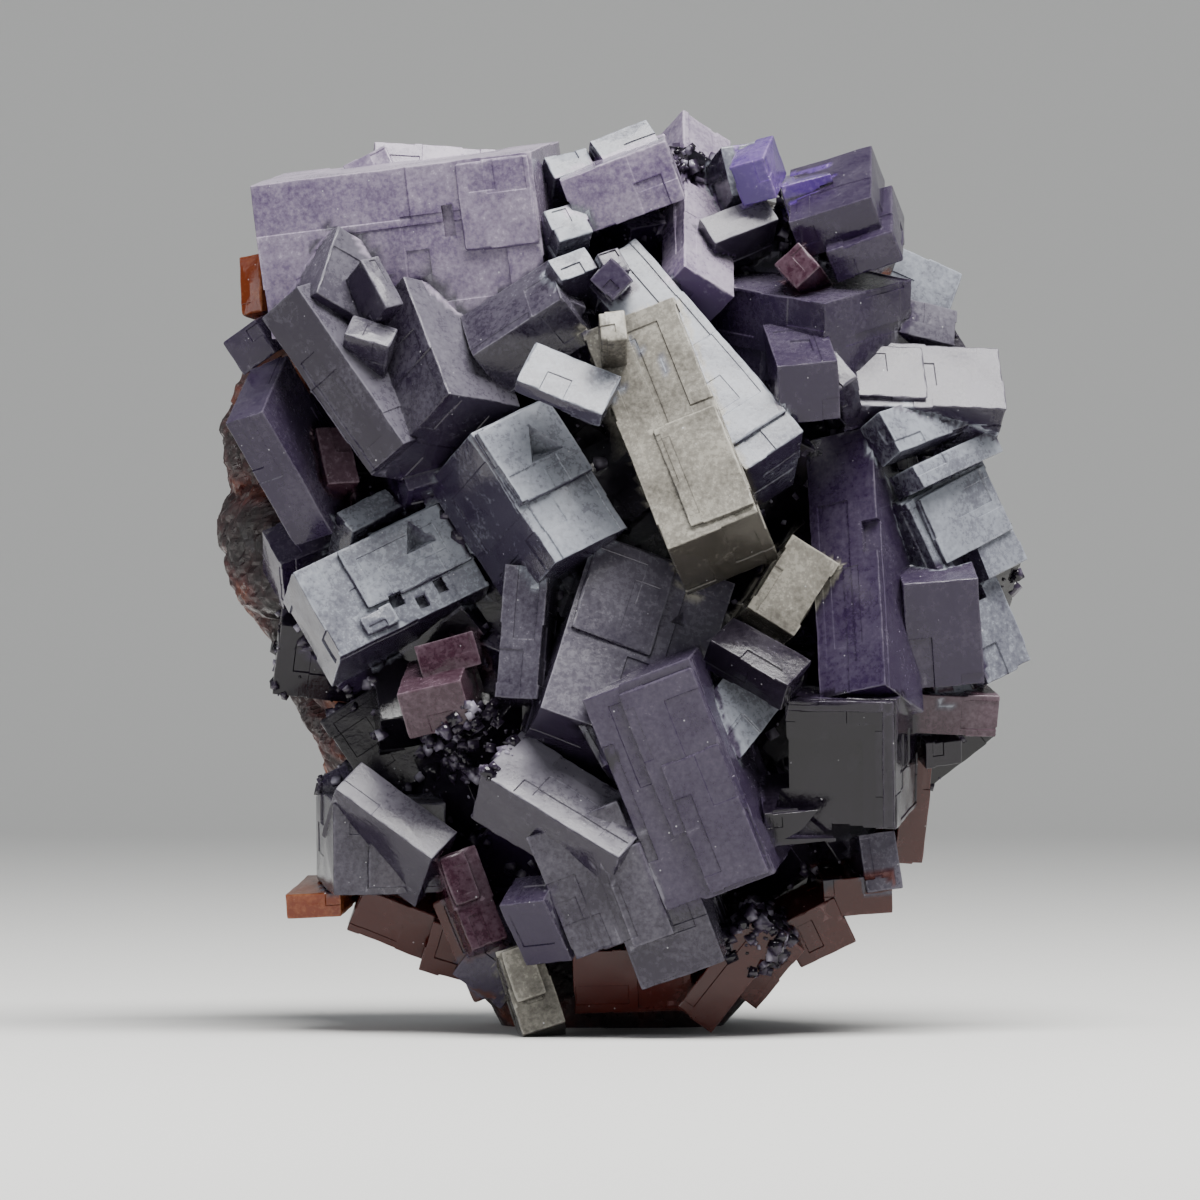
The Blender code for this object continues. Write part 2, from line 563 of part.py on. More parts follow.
# One closed solid of all the crystals with their steps and pits.
def fluorite_crust():
    crystals = named_crystals()
    sides = list(crystals.values()) + fill_crystals() + rim_crystals()
    for name, left, right, low, high, above in TERRACES:
        sides.append(patch(crystals[name], left, right, low, high, STEP_ROOT, above))
    crust = join_all([heart()] + [box_object(*edges) for edges in sides])
    for name, left, right, low, high, below in PITS:
        space = patch(crystals[name], left, right, low, high, below, PIT_CLEARANCE)
        combine(crust, box_object(*space), "DIFFERENCE")
    for name, left, low, radius, depth in CORNER_PITS:
        combine(crust, corner_pit(crystals[name], left, low, radius, depth), "DIFFERENCE")
    combine(crust, rock("bed", CONTACT_GAP), "DIFFERENCE")
    side, deep = GROUND
    low = Vector((-side / 2.0, -side / 2.0, -deep))
    ground = box_object(low, Vector((side, 0.0, 0.0)), Vector((0.0, side, 0.0)), Vector((0.0, 0.0, deep)))
    combine(crust, ground, "DIFFERENCE")
    keep_outer_shell(crust)
    return crust


# A plain Principled material.
def finish(name, color, roughness):
    material = bpy.data.materials.new(name)
    material.use_nodes = True
    shader = material.node_tree.nodes["Principled BSDF"]
    shader.inputs["Base Color"].default_value = (*color, 1.0)
    shader.inputs["Roughness"].default_value = roughness
    shader.inputs["Metallic"].default_value = 0.0
    return material


# Moves the meshes so that the origin is at the middle of the underside of their box.
def centre_on_base(things):
    spots = [v.co for thing in things for v in thing.data.vertices]
    low = Vector([min(p[i] for p in spots) for i in range(3)])
    high = Vector([max(p[i] for p in spots) for i in range(3)])
    shift = Vector(((low.x + high.x) / 2.0, (low.y + high.y) / 2.0, low.z))
    for thing in things:
        for vert in thing.data.vertices:
            vert.co -= shift
    return shift


for old in list(bpy.data.objects):
    bpy.data.objects.remove(old)
crust = fluorite_crust()
crust.data.materials.clear()
crust.data.materials.append(finish("violet fluorite", (0.30, 0.25, 0.36), 0.3))
matrix = rock("matrix", 0.0)
matrix.data.materials.append(finish("rusty rock", (0.12, 0.06, 0.04), 0.8))
shift = centre_on_base([crust, matrix])
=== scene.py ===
# Fluorite on matrix, the looks: frosted violet cubes on a rusty rock, in metres.
import math
import random
import bpy
import numpy as np
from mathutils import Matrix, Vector


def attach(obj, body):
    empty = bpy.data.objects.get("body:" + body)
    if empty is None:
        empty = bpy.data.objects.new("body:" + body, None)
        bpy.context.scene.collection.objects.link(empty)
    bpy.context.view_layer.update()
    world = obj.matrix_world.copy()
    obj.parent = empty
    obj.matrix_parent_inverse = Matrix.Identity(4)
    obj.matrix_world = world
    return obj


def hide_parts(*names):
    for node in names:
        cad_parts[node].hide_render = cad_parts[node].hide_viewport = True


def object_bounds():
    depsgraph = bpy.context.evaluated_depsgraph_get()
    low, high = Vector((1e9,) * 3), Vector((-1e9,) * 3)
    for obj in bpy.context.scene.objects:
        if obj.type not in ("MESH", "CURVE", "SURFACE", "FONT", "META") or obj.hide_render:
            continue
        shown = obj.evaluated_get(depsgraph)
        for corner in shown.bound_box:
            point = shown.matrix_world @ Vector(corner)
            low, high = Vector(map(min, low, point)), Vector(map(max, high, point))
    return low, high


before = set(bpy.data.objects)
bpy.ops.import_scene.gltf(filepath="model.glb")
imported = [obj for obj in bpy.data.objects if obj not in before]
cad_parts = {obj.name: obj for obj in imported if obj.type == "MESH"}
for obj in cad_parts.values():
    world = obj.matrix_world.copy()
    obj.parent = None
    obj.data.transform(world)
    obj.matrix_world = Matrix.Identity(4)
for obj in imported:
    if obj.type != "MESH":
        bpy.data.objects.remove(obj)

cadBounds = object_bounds()
mm = 0.001
standOffset = np.array([2.73, -4.85, 0.0])  # from the front view's millimetres to the frame's middle


# Settings, in millimetres in the front view: x right, y away, z up

growth = {
    "riser": 0.05,           # half the width of a growth step's riser
    "most": 3,               # most growth steps on one face
    "area": 90.0,            # face area for each growth step
    "rise": (0.08, 0.22),    # depth of a growth step
    "hill": 0.2,             # how far the hillock falls to the sides
    "wave": 0.12,            # depth of the soft waves
    "reach": 2.4,            # how far in from a face its relief is felt
    "worn": 0.2,             # radius of a worn edge
    "wear": (0.6, 1.5),      # how much more or less an edge is worn
    "wornMost": 0.2,         # the most that it takes of a cube's shortest edge
    "wornLine": 0.4,         # a grid line at this share of the worn band
    "grid": (0.7, 1.25),     # grid spacing
    "gridCells": 14.0,       # cells along a cube's shortest edge, where the spacing allows
    "closest": 0.04,         # grid lines closer than this are one
    "start": (-0.3, 0.75),   # where a growth step starts, as a share of the face
    "span": (0.25, 0.8),     # how much of the face it spans
    "hillTop": (0.45, 0.55),
    "hillSlope": 1.8,
    "waves": (0.9, 0.7, 0.33),
    "roughness": (1.9, 2.3, 1.7),
}
heart = {"middle": (4.5, -4.0, 56.0), "radii": (36.0, 14.5, 42.0), "levels": 42, "turns": 64, "cap": 0.4}
valley = {"count": 96, "shell": (33.5, 10.5, 40.0), "edges": (9.0, 15.0), "seed": 11}
# A small cube's tilt from its way out, how far its first edge stands out, the most backward
# way out that takes a valley cube, and how far the rim's cubes wander.
small = {"tilt": 0.45, "stand": 1.1, "back": 0.15, "turn": 0.25, "depth": 2.0, "backward": 0.35}
rim = {"count": 26, "shell": (39.0, 46.0), "depths": (-2.0, 15.0), "edges": (8.0, 13.0), "seed": 5}
crustSettings = {
    "mostTriangles": 170000,
    "paintedLightSide": (0.35, -0.45, 0.82),   # frost is thickest on faces that look this way, a painted light; faces that look away get less, a painted shade
    # the share of frost left on faces side-on to that way, and the least share on faces that look away: how
    # deep the painted shade goes
    "frostInPaintedShade": 0.22,
    "leastFrostInPaintedShade": 0.1,
    "near": 1.0,                        # a crystal owns points at most this far from it
    "stepRoot": 1.0,                    # how far a growth plate reaches into its crystal
    "pitClearance": 2.0,                # how far a pit's cutter stands out of the face
    "ground": (200.0, 40.0),            # side and depth of the cutter under the floor
    "seed": 100,
}
tintSeed = 3
grains = {
    "count": 2600,
    "half": (0.12, 0.75),    # half an edge
    "smallness": 3,          # the higher, the more of them are small
    "stretch": (0.7, 0.6),   # least stretch of an edge, and how much more there may be
    "deepest": 14.0,
    "margin": 1.4,           # how far inside the specimen's box they stay
    "patches": ((-14.7, 34.8, 4.6, 9.0), (18.9, 11.9, 4.4, 9.0)),
    "seed": 8,
}

# Body colour, frost colour and how much frost lies on the faces. Small cubes take theirs by
# chance. The pale silver frost is partly a painted sheen, given to faces that shone with the
# light from above; the dark and shadow tints are partly painted shade.
smallTints = ("dark", "violet", "dark", "shadow")
tints = {
    # pale frost that is partly a painted sheen, for faces lit bright from above
    "silverFrostAndPaintedSheen": ("#332c3f", "#8a8e97", 0.95),
    "grey": ("#2b2335", "#625f69", 0.85),
    "lavender": ("#57466a", "#a298a8", 0.95),
    "violet": ("#2a1c3a", "#4d4755", 0.72),
    # dark violet that is partly painted shade: crystals that lay in shade, small cubes and the valley
    # floors
    "dark": ("#150f1b", "#332d39", 0.45),
    "shadow": ("#0f0b13", "#2a252f", 0.4),
    "mauve": ("#3a1d2c", "#6b5a64", 0.5),
    "red": ("#44140d", "#5c3c3b", 0.3),
    "orange": ("#77300f", "#a5704a", 0.3),
    "pink": ("#96485a", "#dcaab2", 0.6),
    "beige": ("#48443f", "#99958b", 0.9),
    "purple": ("#4f3580", "#85719f", 0.4),
}
# The crystals of each tint; those that aren't named are violet.
tintGroups = {
    "silverFrostAndPaintedSheen": (
        "bright plate", "second plate", "speckled plate", "right plate high", "right plate thin",
        "folded plate", "left bright bit", "top plate", "top corner block", "right grey plate",
        "right grey plate top", "bright lower bit", "white top step", "right top back",
        "top bit", "top bit below", "large left crystal",
    ),
    "grey": (
        "centre crystal", "stepped cube foot", "grey foot", "mottled block", "lower left block",
        "left shard", "left pyramid top", "diagonal slab", "left trihedral", "ridge slab",
        "ridge slab end", "frosted column", "lower left ridge", "light block", "shelf corner",
        "grey step", "right shoulder", "left shard foot", "top bit right", "blunt wedge",
    ),
    "lavender": ("upper left block", "top back", "top back left", "lavender block", "top ridge"),
    "dark": ("framed cube", "dark shelf", "dark pyramid", "wedge crystal", "small lower bit", "blade"),
    "mauve": ("maroon block", "dark block", "brown block", "mauve plate", "maroon pyramid", "left facets"),
    "red": (
        "red fan", "red fan middle", "red fan right", "red left crystal", "red lower crystal",
        "red strip", "bottom red block", "brown lower block", "right lower strip",
    ),
    "orange": ("orange edge", "orange tip"),
    "pink": ("pink crystal", "salmon crystal", "magenta crystal"),
    "beige": ("central prism", "beige corner", "bottom plate", "cream bit"),
    "purple": ("bright violet crystal", "violet step"),
}


# Each crystal that shows one broad face. The row holds the name, the lower left corner of the
# face (x, y, z), how far it looks to the right and up in degrees, the slope of its lower edge
# in degrees, its width and height as seen from the front, and how deep it goes.
faceCrystals = (
    # Upper left
    ("upper left block", -39.4, -18.0, 82.2, -8, -6, 6.7, 34.0, 18.8, 24.0),
    ("top back", -27.4, -9.0, 99.6, 5, 25, -3, 15.0, 7.4, 14.0),
    ("top back left", -29.4, -8.0, 99.8, -20, 20, 28, 6.0, 4.4, 12.0),
    ("orange edge", -43.2, -9.0, 85.4, -30, 10, 10, 3.0, 7.5, 8.0),
    ("left pyramid top", -33.5, -27.0, 87.8, 36, 16, -31, 7.3, 8.9, 10.0),
    ("left shard", -28.4, -27.0, 92.0, 30, 30, -62, 7.0, 2.6, 9.0),
    ("left shard foot", -30.4, -28.5, 83.0, 10, 42, -18, 6.0, 3.0, 8.0),
    ("diagonal slab", -27.4, -26.0, 66.0, -32, -12, 40, 6.0, 23.0, 14.0),
    ("ridge slab", -15.4, -29.0, 80.2, 12, -34, -50, 6.7, 13.0, 9.0),
    ("ridge slab end", -7.0, -28.0, 84.4, 10, -20, -20, 4.6, 3.6, 8.0),
    ("dark left face", -42.6, -12.0, 78.0, -22, -12, 35, 5.2, 5.2, 12.0),
    # Top
    ("small violet cube", 1.4, -34.0, 86.2, 0, 0, 45, 4.1, 4.2, 9.0),
    ("top bit", -5.0, -27.0, 93.6, 10, 30, 17, 5.0, 4.6, 10.0),
    ("top bit below", -4.6, -30.0, 89.0, 10, 36, 20, 5.0, 3.4, 9.0),
    ("top bit right", 1.2, -29.5, 89.4, 15, 30, 20, 3.0, 3.6, 8.0),
    ("cream bit", 0.0, -37.0, 81.6, 0, 24, 5, 3.5, 4.0, 8.0),
    ("top corner block", -5.4, -20.0, 101.4, 10, 36, 15, 5.6, 3.4, 12.0),
    ("top plate", 0.4, -19.0, 103.6, 8, 36, 22, 7.6, 3.4, 14.0),
    ("lavender block", -2.4, -24.0, 94.0, 0, -6, 20.3, 13.8, 7.8, 16.0),
    # Upper right
    ("white top step", 15.6, -16.5, 99.4, 15, 18, 8, 4.4, 6.6, 10.0),
    ("violet step", 16.8, -19.0, 97.8, -10, -22, 15, 4.6, 5.4, 9.0),
    ("grey step", 13.6, -21.0, 93.6, 6, 32, 22, 8.6, 4.0, 8.0),
    ("bright violet crystal", 22.4, -17.0, 96.4, 2, -8, 15, 6.6, 4.6, 10.0),
    ("upper stair", 23.8, -20.5, 91.6, -2, -26, 17, 10.6, 5.0, 16.0),
    ("lower stair", 28.0, -21.5, 88.6, -2, -24, 18, 8.7, 4.6, 15.0),
    ("maroon pyramid", 23.0, -26.0, 88.0, -12, 12, 42, 4.4, 4.4, 9.0),
    ("right top back", 33.0, -9.0, 86.0, 18, 12, -24, 8.6, 9.0, 14.0),
    ("lit shelf", 21.0, -31.0, 71.8, 8, -25, 6, 7.6, 7.2, 13.0),
    ("shelf corner", 27.8, -30.0, 76.0, -8, 28, 34, 3.4, 4.8, 9.0),
    ("mottled block", 29.6, -24.0, 74.6, 12, 36, -2, 19.0, 8.2, 10.0),
    ("right shoulder", 35.4, -17.0, 83.4, 25, 20, -14, 7.4, 4.8, 11.0),
    ("right plate high", 35.6, -26.0, 69.0, 34, 26, 20, 13.6, 5.8, 5.0),
    ("right plate thin", 38.4, -24.5, 64.6, 34, 16, 25, 11.0, 3.4, 6.0),
    # Centre
    ("bright plate", -5.2, -34.0, 55.7, 24, 24, 27, 10.0, 18.7, 15.0),
    ("second plate", -10.1, -35.5, 77.3, 8, 34, -22, 11.3, 5.6, 3.0),
    ("central prism", 7.6, -39.5, 57.2, -10, 20, 22, 12.2, 28.0, 16.0),
    ("speckled plate", 17.0, -36.0, 66.6, 5, 28, 33, 8.8, 31.0, 13.0),
    ("centre crystal", -7.2, -35.0, 39.0, 14, 22, -20, 18.0, 22.0, 17.0),
    ("beige corner", 17.0, -29.0, 50.8, 8, 8, -33, 7.0, 10.6, 11.0),
    ("folded plate", 16.8, -33.5, 32.8, 34, 22, 52, 8.8, 8.0, 9.0),
    ("stepped cube", 7.7, -34.5, 14.5, -8, -8, 20.8, 13.9, 27.7, 22.0),
    ("stepped cube foot", 4.8, -31.0, 5.4, -4, -12, 19.5, 10.8, 17.5, 18.0),
    ("grey foot", -3.0, -31.0, 8.8, -8, -8, 21, 12.0, 16.4, 16.0),
    ("blade", 0.0, -36.0, 31.8, -14, 20, 30, 2.6, 9.6, 7.0),
    ("frosted column", -12.8, -29.5, 40.0, -10, 6, -4, 5.6, 16.2, 12.0),
    ("blunt wedge", -14.4, -32.0, 31.4, 12, 42, -31, 19.4, 7.4, 8.5),
    # Left
    ("maroon block", -21.0, -25.0, 41.8, -4, 2, 16, 7.6, 4.6, 10.0),
    ("dark block", -22.6, -26.0, 34.8, -6, -20, 13, 8.2, 6.0, 12.0),
    ("large left crystal", -30.6, -26.0, 44.6, 8, 20, 26, 20.0, 12.2, 11.0),
    ("left wedge", -38.0, -15.0, 55.6, 0, 34, 22, 8.2, 5.4, 10.0),
    ("left bright bit", -29.3, -20.0, 59.6, 10, 42, 27, 7.2, 3.6, 8.0),
    ("left facets", -32.4, -18.5, 65.2, 20, 24, 4, 4.2, 7.4, 10.0),
    ("crackled plate", -22.8, -22.0, 64.2, 6, 20, 15, 7.2, 5.2, 9.0),
    ("pink crystal", -46.0, -7.0, 77.2, -20, 20, 8, 3.6, 4.0, 7.0),
    ("salmon crystal", -46.6, -5.0, 74.4, -24, 12, 70, 4.2, 2.4, 6.0),
    ("magenta crystal", -47.2, -7.0, 73.6, -14, 6, 12, 3.4, 2.6, 7.0),
    # Right
    ("right grey plate", 46.2, -19.0, 41.4, 36, 12, 25, 6.4, 23.0, 12.0),
    ("right grey plate top", 41.6, -22.0, 51.4, 35, 12, 27, 11.0, 13.4, 12.0),
    ("dark violet face", 36.4, -23.0, 40.6, 4, -16, 5, 9.4, 13.0, 12.0),
    ("bright lower bit", 40.6, -20.0, 38.8, 30, 30, 10, 5.4, 5.6, 9.0),
    ("brown block", 36.4, -20.0, 35.4, 10, -10, -2, 11.0, 5.4, 13.0),
    ("small lower bit", 38.6, -16.0, 31.2, 16, -18, 6, 4.8, 3.6, 10.0),
    ("right lower strip", 35.0, -13.0, 20.0, 28, -6, -4, 3.8, 15.0, 14.0),
    # Lower right
    ("framed cube", 21.6, -29.0, 24.6, -10, -8, -1, 13.4, 15.8, 18.0),
    ("dark shelf", 19.4, -30.5, 22.0, 4, -25, 6, 8.6, 4.6, 11.0),
    ("dark pyramid", 26.6, -29.0, 15.6, -10, 8, 44, 5.4, 5.4, 10.0),
    ("light block", 31.6, -19.0, 16.6, 10, 6, 8, 4.8, 7.4, 11.0),
    ("brown lower block", 26.5, -18.0, 13.6, 6, -10, 4, 8.6, 5.0, 12.0),
    ("red fan", 13.2, -23.0, 0.0, 4, -12, 52, 14.6, 5.6, 10.0),
    ("red fan middle", 18.6, -19.0, 2.6, 6, -16, 50, 9.6, 6.0, 10.0),
    ("red fan right", 23.8, -17.0, 7.4, 8, -14, 26, 7.8, 6.4, 10.0),
    # Lower left
    ("lower left block", -31.8, -18.0, 16.2, 10, -6, 1, 13.8, 11.4, 15.0),
    ("lower left ridge", -31.6, -21.0, 29.4, 14, 34, -36, 14.6, 4.8, 11.0),
    ("orange tip", -37.6, -10.0, 13.2, -12, -10, 3, 7.0, 3.4, 12.0),
    ("red left crystal", -30.6, -11.0, 12.0, -6, -22, -22, 10.4, 6.0, 14.0),
    ("red lower crystal", -22.0, -12.0, 7.2, -6, -20, -16, 8.4, 6.6, 13.0),
    ("bottom red left", -18.0, -16.0, 7.0, -8, -16, -36, 7.6, 7.0, 12.0),
    ("red strip", -20.4, -16.0, 15.6, -10, -8, -67, 13.4, 3.2, 10.0),
    ("mauve plate", -15.4, -23.0, 9.8, 5, 10, 20, 5.4, 12.2, 11.0),
    ("bottom plate", -9.2, -25.5, 0.0, 0, 14, 18, 5.8, 10.8, 11.0),
    ("bottom red block", -3.2, -21.0, 2.2, 0, -24, 2, 14.4, 8.0, 14.0),
)

# Each crystal that shows a corner with three edges. The row holds the name, the corner
# (x, y, z), the three directions of the edges as seen from the front, counterclockwise from
# the right in degrees, and the three lengths as seen.
cornerCrystals = (
    ("left trihedral", -17.8, -33.0, 75.8, (111, -9, -134), (15.5, 9.2, 13.7)),
    ("left edge pyramid", -39.8, -26.0, 74.0, (69, -60.4, 199), (7.7, 17.0, 5.2)),
    ("upper right corner", 26.4, -29.0, 86.6, (168, 17, -90), (14.4, 11.6, 11.0)),
    ("tall right crystal", 32.2, -21.0, 72.6, (-87.4, 193, -37), (31.0, 8.4, 6.2)),
    ("top ridge", 10.0, 1.0, 111.2, (-90, -134, -32), (20.0, 4.5, 7.4)),
    ("violet triangle", -6.6, -33.5, 16.4, (187, -65, 60), (5.8, 8.4, 4.0)),
    ("wedge crystal", 22.1, -36.5, 41.6, (150.4, 44, -106), (11.0, 4.4, 3.6)),
)

# Growth steps: thin plates that lie on a broad face. The row holds the crystal, the share of
# its width and height that the plate covers (from, to, from, to) and its height over the face.
terraces = (
    ("upper left block", 0.72, 0.99, 0.40, 0.98, 0.3),
    ("bright plate", 0.02, 0.98, 0.42, 0.98, 0.9),
    ("stepped cube", 0.30, 0.99, 0.30, 0.96, 0.7),
    ("stepped cube", 0.42, 0.97, 0.02, 0.62, 1.2),
    ("stepped cube foot", 0.10, 0.60, 0.30, 0.98, 0.8),
    ("speckled plate", 0.06, 0.97, 0.10, 0.52, 0.5),
    ("central prism", 0.30, 0.98, 0.04, 0.50, 0.4),
    ("centre crystal", 0.03, 0.60, 0.45, 0.98, 0.5),
    ("large left crystal", 0.28, 0.98, 0.30, 0.97, 0.6),
    ("large left crystal", 0.20, 0.42, 0.06, 0.30, 0.8),
    ("right grey plate top", 0.10, 0.96, 0.30, 0.96, 0.5),
    ("bottom plate", 0.10, 0.80, 0.35, 0.96, 0.6),
    ("mauve plate", 0.06, 0.70, 0.45, 0.97, 0.5),
    ("mottled block", 0.04, 0.50, 0.10, 0.90, 0.5),
    ("framed cube", 0.86, 0.98, 0.02, 0.98, 0.6),
    ("framed cube", 0.02, 0.98, 0.88, 0.98, 0.6),
    ("lower left block", 0.30, 0.98, 0.08, 0.60, 0.5),
)

# Pits with straight walls, in the same terms as the growth steps, with their depth.
pits = (
    ("upper left block", 0.66, 0.70, 0.52, 0.72, 1.2),
    ("upper left block", 0.52, 0.60, 0.30, 0.46, 0.6),
    ("framed cube", -0.05, 0.80, -0.05, 0.80, 1.3),
    ("framed cube", -0.05, 0.68, -0.05, 0.66, 2.6),
    ("right grey plate", 0.10, 0.62, 0.42, 0.72, 1.5),
    ("large left crystal", 0.42, 0.50, 0.22, 0.34, 1.4),
    ("large left crystal", 0.56, 0.62, 0.10, 0.22, 1.4),
    ("large left crystal", 0.70, 0.76, 0.16, 0.30, 1.3),
    ("tall right crystal", 0.36, 0.48, -0.10, 0.24, 1.2),
)

# Three-sided pits, as a corner of a cube sunk into the face: the crystal, the middle of the
# pit as a share of width and height, its radius and its depth in millimetres.
cornerPits = (
    ("bright plate", 0.59, 0.71, 2.0, 1.8),
    ("large left crystal", 0.74, 0.72, 1.9, 1.6),
    ("upper right corner", 0.60, 0.50, 2.6, 2.0),
    ("centre crystal", 0.72, 0.70, 1.6, 1.2),
)


# Shape tools


# A cube's corners as shares of its edges, and its sides as corner numbers, facing out
cubeCorners = np.array([[i, j, k] for k in (0, 1) for j in (0, 1) for i in (0, 1)], float)
cubeSides = np.array([(0, 2, 3, 1), (4, 5, 7, 6), (0, 1, 5, 4), (2, 6, 7, 3), (0, 4, 6, 2), (1, 3, 7, 5)])


# A number from 0 to 1 for each lattice cell: the fraction of a large sine of its coordinates.
def cellHash(cells, seed):
    mixed = cells[..., 0] * 127.1 + cells[..., 1] * 311.7 + cells[..., 2] * 74.7 + seed * 53.3
    return np.modf(np.abs(np.sin(mixed) * 43758.5453))[0]


# Soft noise from 0 to 1: lattice numbers blended between the eight corners of each cell.
def softNoise(points, size, seed):
    scaled = points / size
    base = np.floor(scaled)
    part = scaled - base
    part = part * part * (3.0 - 2.0 * part)
    total = np.zeros(points.shape[:-1])
    for step in cubeCorners:
        weight = np.prod(np.where(step > 0.5, part, 1.0 - part), axis=-1)
        total += weight * cellHash(base + step, seed)
    return total


# Broken lumps: for each point the number of its nearest scattered seed, and how much nearer
# that seed is than the next one, as a share of the cell size.
def brokenCells(points, size, seed):
    scaled = points / size
    base = np.floor(scaled)
    nearest = np.full(points.shape[:-1], 9.0)
    second = np.full(points.shape[:-1], 9.0)
    number = np.zeros(points.shape[:-1])
    for step in np.ndindex(3, 3, 3):
        cells = base + np.array(step, float) - 1.0
        spot = cells + np.stack([cellHash(cells, seed + k) for k in (1, 2, 3)], axis=-1)
        gap = np.linalg.norm(spot - scaled, axis=-1)
        closer = gap < nearest
        second = np.where(closer, nearest, np.minimum(second, gap))
        number = np.where(closer, cellHash(cells, seed + 9), number)
        nearest = np.where(closer, gap, nearest)
    return number, second - nearest


# A mesh object from arrays, in the scene. Points are in the front view's millimetres.
def makeMesh(name, points, faces):
    mesh = bpy.data.meshes.new(name)
    mesh.vertices.add(len(points))
    mesh.vertices.foreach_set("co", ((points - standOffset) * mm).astype(np.float32).ravel())
    sides = faces.shape[1]
    mesh.loops.add(faces.size)
    mesh.loops.foreach_set("vertex_index", faces.astype(np.int32).ravel())
    mesh.polygons.add(len(faces))
    mesh.polygons.foreach_set("loop_start", np.arange(0, faces.size, sides, dtype=np.int32))
    mesh.polygons.foreach_set("loop_total", np.full(len(faces), sides, dtype=np.int32))
    mesh.update()
    mesh.validate()
    piece = bpy.data.objects.new(name, mesh)
    bpy.context.scene.collection.objects.link(piece)
    return piece


# Vertices and triangles of an object, in the front view's millimetres.
def readMesh(piece):
    mesh = piece.data
    points = np.empty(len(mesh.vertices) * 3, np.float32)
    mesh.vertices.foreach_get("co", points)
    mesh.calc_loop_triangles()
    corners = np.empty(len(mesh.loop_triangles) * 3, np.int32)
    mesh.loop_triangles.foreach_get("vertices", corners)
    return points.reshape(-1, 3).astype(float) / mm + standOffset, corners.reshape(-1, 3)


# One Boolean between two closed pieces. The second is removed.
def combine(piece, other, operation):
    modifier = piece.modifiers.new("combine", "BOOLEAN")
    modifier.operation = operation
    modifier.solver = "MANIFOLD"
    modifier.object = other
    made = bpy.data.meshes.new_from_object(piece.evaluated_get(bpy.context.evaluated_depsgraph_get()))
    piece.modifiers.clear()
    old = piece.data
    piece.data = made
    bpy.data.meshes.remove(old)
    gone = other.data
    bpy.data.objects.remove(other)
    bpy.data.meshes.remove(gone)


# Joins closed pieces two by two until one is left.
def joinAll(things):
    while len(things) > 1:
        for first, second in zip(things[::2], things[1::2]):
            combine(first, second, "UNION")
        things = things[::2]
    return things[0]


# Crystal geometry


# A face that looks right and up by two angles: corner, edge across, edge upward, edge inward.
def faceCrystal(x, y, z, right, up, slope, width, height, deep):
    turn, lift, along = math.radians(right), math.radians(up), math.radians(slope)
    out = Vector((math.sin(turn) * math.cos(lift), -math.cos(turn) * math.cos(lift), math.sin(lift)))
    run = -(out.x * math.cos(along) + out.z * math.sin(along)) / out.y
    across = Vector((math.cos(along), run, math.sin(along))).normalized()
    upward = out.cross(across)
    wide = width / math.hypot(across.x, across.z)
    tall = height / math.hypot(upward.x, upward.z)
    return [Vector((x, y, z)), across * wide, upward * tall, out * -deep]


# A corner whose three square edges are seen in given directions: the product of two of their
# tangents of depth is minus the cosine of the angle seen between them.
def cornerCrystal(x, y, z, directions, lengths):
    a, b, c = [math.radians(d) for d in directions]
    ab, ac, bc = math.cos(a - b), math.cos(a - c), math.cos(b - c)
    depths = [math.sqrt(-ab * ac / bc), math.sqrt(-ab * bc / ac), math.sqrt(-ac * bc / ab)]
    if ab > 0.0 and ac > 0.0:
        depths[0] = -depths[0]
    edges = [Vector((math.cos(t), d, math.sin(t))) * n for t, d, n in zip((a, b, c), depths, lengths)]
    return [Vector((x, y, z))] + edges


# Three square edges turned at random about a way out.
def randomEdges(dice, out, limits):
    tilt = Vector((dice.uniform(-1, 1), dice.uniform(-1, 1), dice.uniform(-1, 1)))
    first = (out + tilt * small["tilt"]).normalized()
    second = first.orthogonal().normalized()
    third = first.cross(second)
    turn = dice.uniform(0.0, math.tau)
    spun = second * math.cos(turn) + third * math.sin(turn)
    other = first.cross(spun)
    return [axis * dice.uniform(*limits) for axis in (first, spun, other)]


# Cubes in the valleys, on an even spiral over an ellipsoid's front.
def valleyCubes():
    dice = random.Random(valley["seed"])
    found = []
    golden = math.pi * (3.0 - math.sqrt(5.0))
    for k in range(valley["count"]):
        level = 1.0 - 2.0 * (k + 0.5) / valley["count"]
        ring = math.sqrt(1.0 - level * level)
        out = Vector((ring * math.cos(k * golden), ring * math.sin(k * golden), level))
        edges = randomEdges(dice, out, valley["edges"])
        if out.y > small["back"]:
            continue
        middle = Vector([m + r * o for m, r, o in zip(heart["middle"], valley["shell"], out)])
        found.append([middle - (edges[0] * small["stand"] + edges[1] + edges[2]) * 0.5] + edges)
    return found


# Cubes round the rim, at depths that step to and fro.
def rimCubes():
    dice = random.Random(rim["seed"])
    found = []
    for k in range(rim["count"]):
        turn = math.tau * (k + dice.uniform(-small["turn"], small["turn"])) / rim["count"]
        out = Vector((math.cos(turn), dice.uniform(0.0, small["backward"]), math.sin(turn))).normalized()
        depth = rim["depths"][k % 2] + dice.uniform(-small["depth"], small["depth"])
        x = heart["middle"][0] + rim["shell"][0] * math.cos(turn)
        z = heart["middle"][2] + rim["shell"][1] * math.sin(turn)
        edges = randomEdges(dice, out, rim["edges"])
        middle = Vector((x, depth, z))
        found.append([middle - (edges[0] * small["stand"] + edges[1] + edges[2]) * 0.5] + edges)
    return found


# The three axes as rows, the three lengths and the corner, with the axes right-handed.
def boxFrame(crystal):
    corner, first, second, third = crystal
    if first.cross(second).dot(third) < 0.0:
        first, second = second, first
    lengths = np.array([first.length, second.length, third.length])
    axes = np.array([first.normalized(), second.normalized(), third.normalized()])
    return np.array(corner), axes, lengths


